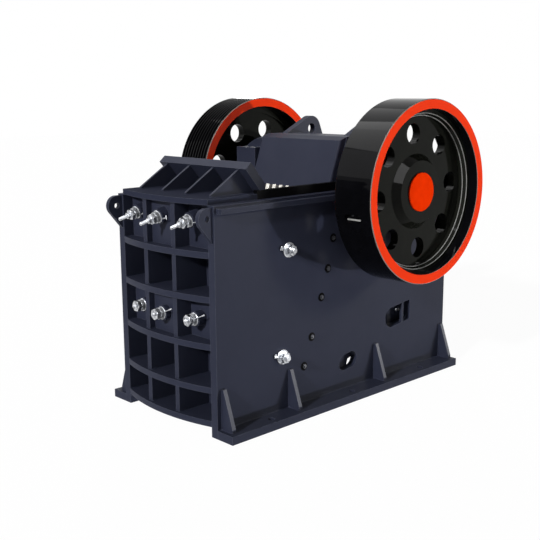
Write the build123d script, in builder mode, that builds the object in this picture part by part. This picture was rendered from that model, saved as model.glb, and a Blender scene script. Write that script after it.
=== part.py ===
"""Single-toggle jaw crusher with an open feed mouth, two dished wheels and a ribbed, bulging front.

Millimetres. X runs along the eccentric shaft, Y from the fixed jaw at the front to the
toggle at the rear, and Z up from the underside of the feet. The origin is on the ground,
at the middle of the anchor-bolt rectangle.
"""

import os
from math import atan2, cos, hypot, radians, sin, tan

from build123d import *

# Main frame
FRAME_LENGTH = 2686.0
FRAME_WIDTH = 1140.0
PLATE_THICKNESS = 66.0
PLATE_HEIGHT = 1680.0
REAR_SLOPE_LENGTH = 536.0
REAR_SLOPE_DROP = 430.0
FIT_GAP = 0.3

# Openings in the side plates
LOWER_WINDOW_FROM_FRONT = 1392.0
LOWER_WINDOW_HEIGHT = 286.0
LOWER_WINDOW_LENGTH = 217.0
LOWER_WINDOW_WIDTH = 131.0
LOWER_WINDOW_TILT = 8.0
ADJUST_WINDOW_BEFORE_WALL = 334.0
ADJUST_WINDOW_LENGTH = 330.0
ADJUST_WINDOW_BOTTOM = 452.0
ADJUST_WINDOW_DEPTH = 172.0
ADJUST_WINDOW_RISE = 44.0

# Feet
FOOT_WIDTH = 160.0
FOOT_THICKNESS = 63.0
ANCHOR_FROM_END = 443.0
ANCHOR_FROM_EDGE = 70.0
ANCHOR_HOLE = 52.0
ANCHORS_PER_FOOT = 3
GUSSET_THICKNESS = 32.0
GUSSET_HEIGHT = 302.0
GUSSET_FOOT = 114.0
GUSSET_TOE = 26.0
GUSSET_CROWN = 18.0
GUSSETS_FROM_FRONT = (57.0, 729.0)
GUSSETS_FROM_REAR = (949.0, 38.0)

# Front wall and its ribs
WALL_FRONT = 240.0
WALL_THICKNESS = 210.0
RIB_THICKNESS = 45.0
RIB_SHARES = (0.8048, 0.6161, 0.4113, 0.2214, 0.0720)
FRONT_BULGE = 78.0
WEB_THICKNESS = 44.0
WEB_OFFSET = 168.0
WEB_OVERHANG = 45.0
OUTER_PAD_FRONT = 86.0
CENTRE_PAD_FRONT = 5.0
PAD_THICKNESS = 60.0
DECK_THICKNESS = 40.0
DECK_SETBACK = 15.0

# Feed guard over the fixed jaw
HOPPER_THICKNESS = 68.0
HOPPER_ANGLE = 49.4
HOPPER_SLOPE = 210.0
HOPPER_KNEE = 70.0
HOPPER_SETBACK = 18.0
FIN_THICKNESS = 20.0
FIN_INSET = 91.5
FIN_COUNT = 4
FIN_NOSE = 100.0
FIN_NOSE_HEIGHT = 14.0
FIN_BELOW_EDGE = 8.0

# Rim bars and lifting eyes of the frame
RIM_BELOW_TOP = 20.0
RIM_DEPTH = 37.0
RIM_WIDTH = 41.0
RIM_START = 20.0
RIM_CHAMFER = 14.0
EYE_PLATE_THICKNESS = 35.0
EYE_PLATE_INSET = 15.0
EYE_PLATE_BELOW_TOP = 12.0
EYE_PLATE_DROP = 265.0
EYE_REACH = 48.0
EYE_BELOW_TOP = 88.0
EYE_NOSE = 76.0
EYE_CHIN_REACH = 61.0
EYE_CHIN_DROP = 46.0
EYE_HOLE = 44.0

# Crushing chamber
CHEEK_THICKNESS = 40.0
CHEEK_GAP = 15.0
CHEEK_ABOVE_PLATE = 65.0
CHEEK_BOTTOM = 250.0
CHEEK_BEHIND_FACE = 201.0
JAW_THICKNESS = 110.0
JAW_TOOTH = 45.0
JAW_TEETH = 12
JAW_SIDE_GAP = 2.0
FIXED_JAW_BOTTOM = 250.0
DISCHARGE_GAP = 162.0
MOVING_FACE_BOTTOM = 300.0
MOVING_FACE_ABOVE_PLATE = 9.0
NIP_ANGLE = 19.86

# Moving jaw casting
STOCK_CLEARANCE = 9.0
STOCK_SKIN = 70.0
STOCK_RIBS = 5
STOCK_RIB_THICKNESS = 50.0
HEAD_RISE = 413.0
HEAD_REACH = 410.0
HEAD_CORNER = 170.0
HEAD_CROWN = 400.0
BARREL_RADIUS = 300.0
GUARD_THICKNESS = 62.0
GUARD_INSET = 5.0
GUARD_BEVEL = 27.0
GUARD_ROUNDING = 18.0
HEAD_EYE_INSET = 100.0
HEAD_EYE_THICKNESS = 60.0
HEAD_EYE_SETBACK = 101.0
HEAD_EYE_APEX = 229.0
HEAD_EYE_END = 316.0
HEAD_EYE_HEIGHT = 181.0
HEAD_EYE_HEEL_DROP = 24.0
HEAD_EYE_ROUNDING = 108.0
HEAD_EYE_HOLE = 88.0
HEAD_EYE_HOLE_BACK = 174.0
HEAD_EYE_HOLE_RISE = 33.0

# Shaft and bearings
SHAFT_BEHIND_FACE = 501.5
SHAFT_BELOW_TOP = 8.0
SHAFT_CLEARANCE = 0.6
ECCENTRIC_RADIUS = 140.0
ECCENTRIC_SIDE_GAP = 34.0
JOURNAL_RADIUS = 120.0
JOURNAL_SHOULDER = 15.0
WHEEL_SEAT_RADIUS = 100.0
END_CAP_RADIUS = 150.0
END_CAP_THICKNESS = 12.0
HOUSING_DEPTH = 236.0
HOUSING_HALF_LENGTH = 344.0
HOUSING_SHOULDER = 293.0
HOUSING_CROWN = 77.0
HOUSING_CROWN_HALF = 226.0
HOUSING_SEAT_RADIUS = 262.0
COVER_RADIUS = 250.0
COVER_THICKNESS = 35.0
COVER_HUB_RADIUS = 165.0
COVER_HUB_THICKNESS = 14.0

# Wheels
WHEEL_RADIUS = 711.0
WHEEL_GAP = 17.0
WHEEL_WIDTH = 347.0
WHEEL_CHAMFER = 6.0
RIM_THICKNESS = 75.0
WHEEL_WEB_START = 133.0
WHEEL_WEB = 70.0
WHEEL_RING_WIDTH = 59.0
WHEEL_RING_STEP = 18.0
HUB_BASE_RADIUS = 292.0
HUB_TAPER = 50.0
HUB_RISE = 50.0
HUB_INNER_RADIUS = 220.0
HUB_GAP = 11.0
WHEEL_HOLES = 8
WHEEL_HOLE_RADIUS = 80.0
WHEEL_HOLE_INSET = 129.0
FLYWHEEL_HOLE_PHASE = 5.5
PULLEY_HOLE_PHASE = 27.0
BAR_SLOT_LENGTH = 160.0
BAR_SLOT_WIDTH = 50.0
BAR_SLOT_DEPTH = 30.0
BAR_SLOT_ANGLE = 191.7
GROOVES = 9
GROOVE_LAND = 11.5
GROOVE_DEPTH = 24.0
GROOVE_TOP = 28.0
GROOVE_ROOT = 15.0

# Jaw bolts: each stack is (shape, radius, length) from the boss outwards
BOLT_RADIUS = 21.0
BOLT_HOLE_GAP = 3.0
BOLT_INSET = 35.0
UPPER_BOLT_TILT = 14.0
UPPER_BOLT_DROP = 120.0
UPPER_BOLT_ANCHOR = 70.0
UPPER_BOSSES = (98.0, 52.0, 98.0)
UPPER_TIP_RADIUS = 13.5
UPPER_TIP_REACH = 165.0
UPPER_STACK = (("round", 48.0, 10.0), ("round", 42.0, 26.0), ("hex", 40.0, 32.0), ("hex", 24.0, 26.0))
LOWER_BOSSES = (69.0, 42.0, 69.0)
LOWER_TIP_RADIUS = 12.0
LOWER_TIP_REACH = 95.0
LOWER_BOLT_ANCHOR = 40.0
LOWER_STACK = (("round", 49.0, 10.0), ("round", 42.0, 28.0), ("hex", 43.0, 34.0))
BOSS_RADIUS = 56.0
BOSS_ROOT = 30.0

# Rear wall, toggle and tension rods
REAR_WALL_FROM_END = 486.0
REAR_WALL_THICKNESS = 70.0
REAR_RIB_DROP = 450.0
REAR_ROWS = 3
REAR_RIB_INSET = 46.0
REAR_RIB_BELOW_ROD = 100.0
REAR_WEB_FROM_ROD = 82.0
TOGGLE_THICKNESS = 70.0
TOGGLE_INSET = 50.0
TOE_LENGTH = 310.0
TOE_RISE = 100.0
TOE_OVERHANG = 14.0
TOE_ABOVE_SEAT = 84.0
BLOCK_BEFORE_WALL = 370.0
BLOCK_LENGTH = 185.0
BLOCK_SIDE_GAP = 34.0
BLOCK_BOTTOM = 460.0
BLOCK_HEIGHT = 200.0
LEDGE_THICKNESS = 45.0
LEDGE_WIDTH = 70.0
LEDGE_BEFORE_WALL = 50.0
SHIM_COUNT = 4
SHIM_SIDE_GAP = 204.0
SHIM_GAP = 0.5
ROD_RADIUS = 24.0
ROD_INSET = 254.0
ROD_ABOVE_TOE = 37.5
ROD_SCREW_IN = 60.0
ROD_HOLE_GAP = 10.0
ROD_WASHER_RADIUS = 58.0
ROD_WASHER = 20.0
ROD_NUT_RADIUS = 42.0
ROD_NUT = 45.0
ROD_TAIL = 35.0
SPRING_RADIUS = 44.0
SPRING_WIRE = 11.0
SPRING_TURNS = 6
SPRING_LENGTH = 220.0

# Planes of the frame, its lengths measured from the front edge of the side plates
HALF_LENGTH = FRAME_LENGTH / 2
OUTER = FRAME_WIDTH / 2
INNER = OUTER - PLATE_THICKNESS
CHAMBER_HALF = INNER - CHEEK_THICKNESS
WALL_BACK = WALL_FRONT + WALL_THICKNESS
FIXED_FACE = WALL_BACK + JAW_THICKNESS
MOVING_FACE = FIXED_FACE + DISCHARGE_GAP
DECK_TOP = PLATE_HEIGHT + DECK_THICKNESS
CHEEK_FRONT = WALL_BACK + CHEEK_GAP
CHEEK_TOP = PLATE_HEIGHT + CHEEK_ABOVE_PLATE
REAR_WALL_FRONT = FRAME_LENGTH - REAR_WALL_FROM_END
REAR_WALL_BACK = REAR_WALL_FRONT + REAR_WALL_THICKNESS
NIP = radians(NIP_ANGLE)
MOVING_FACE_TOP = PLATE_HEIGHT + MOVING_FACE_ABOVE_PLATE
SHAFT_HEIGHT = PLATE_HEIGHT - SHAFT_BELOW_TOP


def lean(height):
    """Distance by which the moving jaw's face has run back above its lower end."""
    return (height - MOVING_FACE_BOTTOM) * tan(NIP)


def behind_face(height, depth):
    """Distance from the front of a plane a given depth behind the moving jaw's teeth."""
    return MOVING_FACE + lean(height) + depth / cos(NIP)


SHAFT_FROM_FRONT = MOVING_FACE + lean(SHAFT_HEIGHT) + SHAFT_BEHIND_FACE


def along(distance):
    """Y of a place measured from the front edge of the side plates."""
    return distance - HALF_LENGTH


def yz_plate(outline, x_low, x_high, mode=Mode.ADD):
    """Plate with an outline of (distance from front, height) points."""
    with BuildSketch(Plane.YZ.offset(x_low)) as profile:
        with BuildLine():
            Polyline(*[(along(d), z) for d, z in outline], close=True)
        make_face()
    extrude(profile.sketch, amount=x_high - x_low, mode=mode)


def block(x_low, x_high, d_low, d_high, z_low, z_high, mode=Mode.ADD):
    """Rectangular block between two corners, its lengths measured from the front."""
    centre = ((x_low + x_high) / 2, along((d_low + d_high) / 2), (z_low + z_high) / 2)
    with Locations(centre):
        return Box(x_high - x_low, d_high - d_low, z_high - z_low, mode=mode)


def shaft_bar(radius, x_low, x_high, mode=Mode.ADD):
    """Round bar or bore on the shaft axis."""
    with Locations(((x_low + x_high) / 2, along(SHAFT_FROM_FRONT), SHAFT_HEIGHT)):
        return Cylinder(radius, x_high - x_low, rotation=(0, 90, 0), mode=mode)


def save(piece, name):
    """Label a finished piece and write it to its own file."""
    piece.part.label = name
    export_step(piece.part, f"parts/{name}.step")


os.makedirs("parts", exist_ok=True)

# Side plates, open over the bearing seats and at two windows
plate_outline = [
    (0, 0),
    (FRAME_LENGTH, 0),
    (FRAME_LENGTH, PLATE_HEIGHT - REAR_SLOPE_DROP),
    (FRAME_LENGTH - REAR_SLOPE_LENGTH, PLATE_HEIGHT),
    (0, PLATE_HEIGHT),
]
adjust_start = REAR_WALL_FRONT - ADJUST_WINDOW_BEFORE_WALL
adjust_end = adjust_start + ADJUST_WINDOW_LENGTH
adjust_top = ADJUST_WINDOW_BOTTOM + ADJUST_WINDOW_DEPTH
adjust_outline = [
    (adjust_start, ADJUST_WINDOW_BOTTOM),
    (adjust_end, ADJUST_WINDOW_BOTTOM + ADJUST_WINDOW_RISE),
    (adjust_end, adjust_top + ADJUST_WINDOW_RISE),
    (adjust_start, adjust_top),
]
with BuildPart() as side_plate_right:
    yz_plate(plate_outline, INNER, OUTER)
    with BuildSketch(Plane.YZ.offset(INNER)):
        with Locations((along(SHAFT_FROM_FRONT), SHAFT_HEIGHT)):
            Circle(HOUSING_SEAT_RADIUS + FIT_GAP)
        with Locations((along(LOWER_WINDOW_FROM_FRONT), LOWER_WINDOW_HEIGHT)):
            SlotOverall(LOWER_WINDOW_LENGTH, LOWER_WINDOW_WIDTH, rotation=LOWER_WINDOW_TILT)
    extrude(amount=PLATE_THICKNESS, mode=Mode.SUBTRACT)
    with BuildSketch(Plane.YZ.offset(INNER)) as adjust_window:
        with BuildLine():
            Polyline(*[(along(d), z) for d, z in adjust_outline], close=True)
        make_face()
        fillet(adjust_window.vertices().sort_by(Axis.X)[:2], radius=ADJUST_WINDOW_DEPTH * 0.48)
        fillet(adjust_window.vertices().sort_by(Axis.X)[-2:], radius=ADJUST_WINDOW_DEPTH * 0.12)
    extrude(amount=PLATE_THICKNESS, mode=Mode.SUBTRACT)

with BuildPart() as side_plate_left:
    mirror(side_plate_right.part, about=Plane.YZ)

# Feet with anchor holes and gussets
anchor_pitch = (FRAME_LENGTH - 2 * ANCHOR_FROM_END) / (ANCHORS_PER_FOOT - 1)
anchor_line = Location((OUTER + FOOT_WIDTH - ANCHOR_FROM_EDGE, 0, FOOT_THICKNESS))
with BuildPart() as foot_right:
    block(OUTER, OUTER + FOOT_WIDTH, 0, FRAME_LENGTH, 0, FOOT_THICKNESS)
    with Locations(anchor_line):
        with GridLocations(0, anchor_pitch, 1, ANCHORS_PER_FOOT):
            Hole(ANCHOR_HOLE / 2)

with BuildPart() as foot_left:
    mirror(foot_right.part, about=Plane.YZ)

gusset_outline = [
    (OUTER, FOOT_THICKNESS),
    (OUTER + GUSSET_FOOT, FOOT_THICKNESS),
    (OUTER + GUSSET_FOOT, FOOT_THICKNESS + GUSSET_TOE),
    (OUTER + GUSSET_CROWN, FOOT_THICKNESS + GUSSET_HEIGHT),
    (OUTER, FOOT_THICKNESS + GUSSET_HEIGHT),
]
gusset_places = list(GUSSETS_FROM_FRONT) + [FRAME_LENGTH - d for d in GUSSETS_FROM_REAR]
with BuildPart() as foot_gussets:
    for distance in gusset_places:
        with BuildSketch(Plane.XZ.offset(-along(distance))):
            with BuildLine():
                Polyline(*gusset_outline, close=True)
            make_face()
        extrude(amount=GUSSET_THICKNESS / 2, both=True)
    mirror(about=Plane.YZ)

# Rows of the front: ribs from the top down, with the plate's top above the first row
rib_tops = [share * PLATE_HEIGHT for share in RIB_SHARES]
row_tops = [PLATE_HEIGHT] + [top - RIB_THICKNESS for top in rib_tops[:-1]]
rows = list(zip(rib_tops, row_tops))
web_inner = WEB_OFFSET - WEB_THICKNESS / 2
web_outer = WEB_OFFSET + WEB_THICKNESS / 2

# Jaw bolt axes: the upper row rises to the rear, the lower row is level
bolt_pitch = (web_outer + INNER) / 2 - BOLT_INSET
bolt_columns = (-bolt_pitch, 0, bolt_pitch)
pad_fronts = (OUTER_PAD_FRONT, CENTRE_PAD_FRONT, OUTER_PAD_FRONT)
upper_height = PLATE_HEIGHT - UPPER_BOLT_DROP
lower_height = sum(rows[2]) / 2


def bolt_row(height, tilt, bosses, anchor):
    """For each bolt: the plane on its boss, facing out, and the length of bolt behind it."""
    row = []
    for x, pad_front, boss in zip(bolt_columns, pad_fronts, bosses):
        seat = pad_front - boss
        out = (0, -cos(radians(tilt)), -sin(radians(tilt)))
        plane = Plane(origin=(x, along(seat), height), x_dir=(1, 0, 0), z_dir=out)
        row.append((plane, (anchor - seat) / cos(radians(tilt))))
    return row


upper_row = bolt_row(upper_height, UPPER_BOLT_TILT, UPPER_BOSSES, WALL_FRONT + UPPER_BOLT_ANCHOR)
lower_row = bolt_row(lower_height, 0, LOWER_BOSSES, WALL_BACK + LOWER_BOLT_ANCHOR)


def cut_bolt_holes(bolts, radius):
    """Cut a hole around each bolt, from its boss to the end of the bolt."""
    for plane, depth in bolts:
        with BuildSketch(plane) as mouth:
            Circle(radius)
        extrude(mouth.sketch, amount=-depth, mode=Mode.SUBTRACT)


# Front wall
with BuildPart() as front_wall:
    block(-INNER, INNER, WALL_FRONT, WALL_BACK, rib_tops[-1] - RIB_THICKNESS, PLATE_HEIGHT)
    cut_bolt_holes(upper_row, BOLT_RADIUS + FIT_GAP)
    cut_bolt_holes(lower_row, BOLT_RADIUS + BOLT_HOLE_GAP)

# Horizontal ribs with a bulging front edge
with BuildPart() as front_ribs:
    for top in rib_tops:
        with BuildSketch(Plane.XY.offset(top - RIB_THICKNESS)):
            with BuildLine():
                ThreePointArc((-INNER, along(0)), (0, along(-FRONT_BULGE)), (INNER, along(0)))
                Polyline(
                    (INNER, along(0)),
                    (INNER, along(WALL_FRONT)),
                    (-INNER, along(WALL_FRONT)),
                    (-INNER, along(0)),
                )
            make_face()
        extrude(amount=RIB_THICKNESS)

# Upright webs between the ribs
with BuildPart() as front_webs:
    for x in (-WEB_OFFSET, WEB_OFFSET):
        for low, high in rows:
            half = WEB_THICKNESS / 2
            block(x - half, x + half, -WEB_OVERHANG, WALL_FRONT, low, high)

# Pads with a boss under each jaw bolt
padded_rows = ((rows[0], upper_row, UPPER_BOSSES), (rows[2], lower_row, LOWER_BOSSES))
pad_sides = ((-INNER, -web_outer), (-web_inner, web_inner), (web_outer, INNER))
with BuildPart() as bolt_pads:
    for (low, high), bolts, bosses in padded_rows:
        for (left, right), pad_front in zip(pad_sides, pad_fronts):
            block(left, right, pad_front, pad_front + PAD_THICKNESS, low, high)
        for (plane, _), boss in zip(bolts, bosses):
            with BuildSketch(plane):
                Circle(BOSS_RADIUS)
            extrude(amount=-boss - BOSS_ROOT)
    cut_bolt_holes(upper_row + lower_row, BOLT_RADIUS + BOLT_HOLE_GAP)

# Top plate over the front, notched for the cheek plates
notch = CHEEK_FRONT - FIT_GAP
deck_end = FIXED_FACE - DECK_SETBACK
deck_half = CHAMBER_HALF - FIT_GAP
with BuildPart() as top_front_plate:
    with BuildSketch(Plane.XY.offset(PLATE_HEIGHT)):
        with BuildLine():
            ThreePointArc((-INNER, along(0)), (0, along(-FRONT_BULGE)), (INNER, along(0)))
            Polyline(
                (INNER, along(0)),
                (INNER, along(notch)),
                (deck_half, along(notch)),
                (deck_half, along(deck_end)),
                (-deck_half, along(deck_end)),
                (-deck_half, along(notch)),
                (-INNER, along(notch)),
                (-INNER, along(0)),
            )
        make_face()
    extrude(amount=DECK_THICKNESS)

# Sloping feed guard and its fins
slope = radians(HOPPER_ANGLE)
hopper_rear = FIXED_FACE - HOPPER_SETBACK
knee = (hopper_rear, DECK_TOP + HOPPER_KNEE)
rear_edge = (knee[0] - HOPPER_SLOPE * cos(slope), knee[1] + HOPPER_SLOPE * sin(slope))
front_edge = (
    rear_edge[0] - HOPPER_THICKNESS * sin(slope),
    rear_edge[1] - HOPPER_THICKNESS * cos(slope),
)
front_foot = front_edge[0] + (front_edge[1] - DECK_TOP) / tan(slope)
hopper_outline = [front_edge, rear_edge, knee, (hopper_rear, DECK_TOP), (front_foot, DECK_TOP)]
with BuildPart() as hopper_plate:
    yz_plate(hopper_outline, -INNER, INNER)
    for low, high in ((-INNER, -deck_half), (deck_half, INNER)):
        top = CHEEK_TOP + FIT_GAP
        block(low, high, 0, FRAME_LENGTH, 0, top, mode=Mode.SUBTRACT)

apex_height = front_edge[1] - FIN_BELOW_EDGE
fin_outline = [
    (FIN_NOSE, DECK_TOP),
    (FIN_NOSE, DECK_TOP + FIN_NOSE_HEIGHT),
    (front_foot - (apex_height - DECK_TOP) / tan(slope), apex_height),
    (front_foot, DECK_TOP),
]
fin_pitch = 2 * (INNER - FIN_INSET) / (FIN_COUNT - 1)
with BuildPart() as hopper_fins:
    for index in range(FIN_COUNT):
        x = (index - (FIN_COUNT - 1) / 2) * fin_pitch
        yz_plate(fin_outline, x - FIN_THICKNESS / 2, x + FIN_THICKNESS / 2)

# Rim bars along the top of the side plates
rim_top = PLATE_HEIGHT - RIM_BELOW_TOP
with BuildPart() as top_rims:
    rim_end = SHAFT_FROM_FRONT - HOUSING_HALF_LENGTH
    block(OUTER, OUTER + RIM_WIDTH, RIM_START, rim_end, rim_top - RIM_DEPTH, rim_top)
    front_edges = top_rims.edges().filter_by(Axis.Z).group_by(Axis.Y)[0]
    chamfer(front_edges.sort_by(Axis.X)[-1], length=RIM_CHAMFER)
    mirror(about=Plane.YZ)

# Lifting eyes at the front corners
eye_top = PLATE_HEIGHT - EYE_PLATE_BELOW_TOP
eye_height = PLATE_HEIGHT - EYE_BELOW_TOP
with BuildPart() as frame_eyes:
    with BuildSketch(Plane.YZ.offset(OUTER - EYE_PLATE_INSET - EYE_PLATE_THICKNESS)):
        with BuildLine():
            Polyline(
                (along(0), PLATE_HEIGHT - EYE_PLATE_DROP),
                (along(0), eye_top),
                (along(-EYE_REACH), eye_top),
                (along(-EYE_REACH - EYE_CHIN_REACH), eye_height - EYE_CHIN_DROP),
                close=True,
            )
        make_face()
        with Locations((along(-EYE_REACH), eye_height)):
            Circle(EYE_NOSE)
            Circle(EYE_HOLE / 2, mode=Mode.SUBTRACT)
        with Locations((along(EYE_NOSE / 2), eye_height)):
            Rectangle(EYE_NOSE, 2 * EYE_PLATE_DROP, mode=Mode.SUBTRACT)
    extrude(amount=EYE_PLATE_THICKNESS)
    mirror(about=Plane.YZ)

# Cheek plates lining the chamber's sides
cheek_outline = [
    (CHEEK_FRONT, CHEEK_BOTTOM),
    (behind_face(CHEEK_BOTTOM, 0) + CHEEK_BEHIND_FACE, CHEEK_BOTTOM),
    (behind_face(CHEEK_TOP, 0) + CHEEK_BEHIND_FACE, CHEEK_TOP),
    (CHEEK_FRONT, CHEEK_TOP),
]
with BuildPart() as cheek_plate_right:
    yz_plate(cheek_outline, CHAMBER_HALF, INNER)

with BuildPart() as cheek_plate_left:
    mirror(cheek_plate_right.part, about=Plane.YZ)


def tooth_outline(half_width, back, tip, depth, count):
    """Closed outline of a corrugated jaw plate, from its flat back to its tooth tips."""
    pitch = 2 * half_width / count
    root = tip - depth
    points = [(half_width, back), (-half_width, back)]
    for index in range(count):
        start = -half_width + index * pitch
        points += [(start, root), (start + pitch * 0.34, tip), (start + pitch * 0.66, tip)]
    points.append((half_width, root))
    return points


# Fixed jaw plate on the front wall
jaw_half = CHAMBER_HALF - JAW_SIDE_GAP
fixed_teeth = tooth_outline(jaw_half, along(WALL_BACK), along(FIXED_FACE), JAW_TOOTH, JAW_TEETH)
with BuildPart() as fixed_jaw_plate:
    with BuildSketch(Plane.XY.offset(FIXED_JAW_BOTTOM)):
        with BuildLine():
            Polyline(*fixed_teeth, close=True)
        make_face()
    extrude(amount=PLATE_HEIGHT - FIXED_JAW_BOTTOM)
    cut_bolt_holes(lower_row, BOLT_RADIUS + FIT_GAP)

# Moving jaw plate, leaning back by the nip angle
stock_half = CHAMBER_HALF - STOCK_CLEARANCE
jaw_plane = Plane(
    origin=(0, along(MOVING_FACE), MOVING_FACE_BOTTOM),
    x_dir=(1, 0, 0),
    z_dir=(0, sin(NIP), cos(NIP)),
)
moving_teeth = tooth_outline(stock_half, JAW_THICKNESS, 0, -JAW_TOOTH, JAW_TEETH)
moving_length = (MOVING_FACE_TOP - MOVING_FACE_BOTTOM) / cos(NIP)
with BuildPart() as moving_jaw_plate:
    with BuildSketch(jaw_plane):
        with BuildLine():
            Polyline(*moving_teeth, close=True)
        make_face()
    extrude(amount=moving_length)

# Guard plate on the head, above the moving jaw plate
head_top = SHAFT_HEIGHT + HEAD_RISE
plate_end = MOVING_FACE_TOP - JAW_THICKNESS * sin(NIP)
head_front = behind_face(head_top, JAW_THICKNESS)
bevel_start = head_top - GUARD_BEVEL
bevel_front = behind_face(bevel_start, JAW_THICKNESS - GUARD_THICKNESS)
above_bevel = [
    (bevel_front, bevel_start),
    (head_front, head_top),
    (head_front, head_top + GUARD_THICKNESS),
    (bevel_front, head_top + GUARD_THICKNESS),
]
with BuildPart() as head_guard_plate:
    with BuildSketch(jaw_plane.offset(moving_length)) as guard_section:
        with Locations((0, JAW_THICKNESS - GUARD_THICKNESS / 2)):
            Rectangle(2 * (stock_half - GUARD_INSET), GUARD_THICKNESS)
        fillet(guard_section.vertices().group_by(Axis.Y)[0], radius=GUARD_ROUNDING)
    extrude(amount=(head_top - plate_end) / cos(NIP))
    yz_plate(above_bevel, -stock_half, stock_half, mode=Mode.SUBTRACT)

# Toggle line from the moving jaw's toe to the adjusting block
toe_bottom = MOVING_FACE_BOTTOM - JAW_THICKNESS * sin(NIP)
jaw_seat_height = MOVING_FACE_BOTTOM + TOE_RISE
jaw_seat = behind_face(jaw_seat_height, JAW_THICKNESS) + TOE_LENGTH
toe_rear = jaw_seat + TOE_OVERHANG
toe_top = jaw_seat_height + TOE_ABOVE_SEAT
block_front = REAR_WALL_FRONT - BLOCK_BEFORE_WALL
block_back = block_front + BLOCK_LENGTH
block_top = BLOCK_BOTTOM + BLOCK_HEIGHT
block_half = INNER - BLOCK_SIDE_GAP
block_seat_height = (BLOCK_BOTTOM + block_top) / 2
toggle_angle = atan2(block_seat_height - jaw_seat_height, block_front - jaw_seat)
toggle_span = hypot(block_seat_height - jaw_seat_height, block_front - jaw_seat)
toggle_plane = Plane(
    origin=(0, along((jaw_seat + block_front) / 2), (jaw_seat_height + block_seat_height) / 2),
    x_dir=(0, cos(toggle_angle), sin(toggle_angle)),
    z_dir=(1, 0, 0),
)


def toggle_shape(half_width, growth, mode=Mode.ADD):
    """Plate with round ends between the toggle seats, grown all round by a clearance."""
    with BuildSketch(toggle_plane.offset(-half_width)) as profile:
        SlotCenterToCenter(toggle_span, TOGGLE_THICKNESS + 2 * growth)
    extrude(profile.sketch, amount=2 * half_width, mode=mode)


# Tension rods under the toggle, in the moving jaw's toe and the rear wall
rod_height = toe_bottom + ROD_ABOVE_TOE
rod_places = ((ROD_INSET - INNER, rod_height), (INNER - ROD_INSET, rod_height))


def rod_bars(radius, start, end, mode=Mode.ADD):
    """Pair of round bars, washers or holes on the tension rod axes."""
    with BuildSketch(Plane.XZ.offset(-along(start))) as profile:
        with Locations(*rod_places):
            Circle(radius)
    extrude(profile.sketch, amount=start - end, mode=mode)


# Moving jaw: the stock behind the jaw plate with its toe at the lower end
head_rear = SHAFT_FROM_FRONT + HEAD_REACH
head_low = SHAFT_HEIGHT - BARREL_RADIUS
toe_front = behind_face(toe_bottom, JAW_THICKNESS)
skin_outline = [
    (toe_front, toe_bottom),
    (toe_front + STOCK_SKIN / cos(NIP), toe_bottom),
    (head_front + STOCK_SKIN / cos(NIP), head_top),
    (head_front, head_top),
]
toe_outline = [
    (toe_front, toe_bottom),
    (toe_rear, toe_bottom),
    (toe_rear, toe_top),
    (behind_face(toe_top, JAW_THICKNESS), toe_top),
]
with BuildPart() as moving_jaw:
    yz_plate(skin_outline, -stock_half, stock_half)
    yz_plate(toe_outline, -stock_half, stock_half)
    toggle_shape(INNER, FIT_GAP, mode=Mode.SUBTRACT)
    rod_bars(ROD_RADIUS + FIT_GAP, toe_rear - ROD_SCREW_IN, toe_rear, mode=Mode.SUBTRACT)

# Ribs between the stock, the toe and the head
back_depth = JAW_THICKNESS + STOCK_SKIN
jaw_rib_outline = [
    (behind_face(toe_top, back_depth), toe_top),
    (toe_rear, toe_top),
    (SHAFT_FROM_FRONT + BARREL_RADIUS, head_low),
    (behind_face(head_low, back_depth), head_low),
]
rib_pitch = (2 * stock_half - STOCK_RIB_THICKNESS) / (STOCK_RIBS - 1)
with BuildPart() as moving_jaw_ribs:
    for index in range(STOCK_RIBS):
        low = -stock_half + index * rib_pitch
        yz_plate(jaw_rib_outline, low, low + STOCK_RIB_THICKNESS)

# Head around the eccentric shaft
head_outline = [
    (behind_face(head_low, back_depth), head_low),
    (SHAFT_FROM_FRONT + BARREL_RADIUS, head_low),
    (head_rear, SHAFT_HEIGHT - HEAD_CORNER),
    (head_rear, head_top),
    (behind_face(head_top, back_depth), head_top),
]
with BuildPart() as moving_jaw_head:
    yz_plate(head_outline, -stock_half, stock_half)
    rear_edges = moving_jaw_head.edges().filter_by(Axis.X).group_by(Axis.Y)[-1]
    fillet(rear_edges.sort_by(Axis.Z)[0], radius=HEAD_CORNER)
    rear_edges = moving_jaw_head.edges().filter_by(Axis.X).group_by(Axis.Y)[-1]
    fillet(rear_edges.sort_by(Axis.Z)[-1], radius=HEAD_CROWN)
    shaft_bar(ECCENTRIC_RADIUS + SHAFT_CLEARANCE, -OUTER, OUTER, mode=Mode.SUBTRACT)

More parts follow.
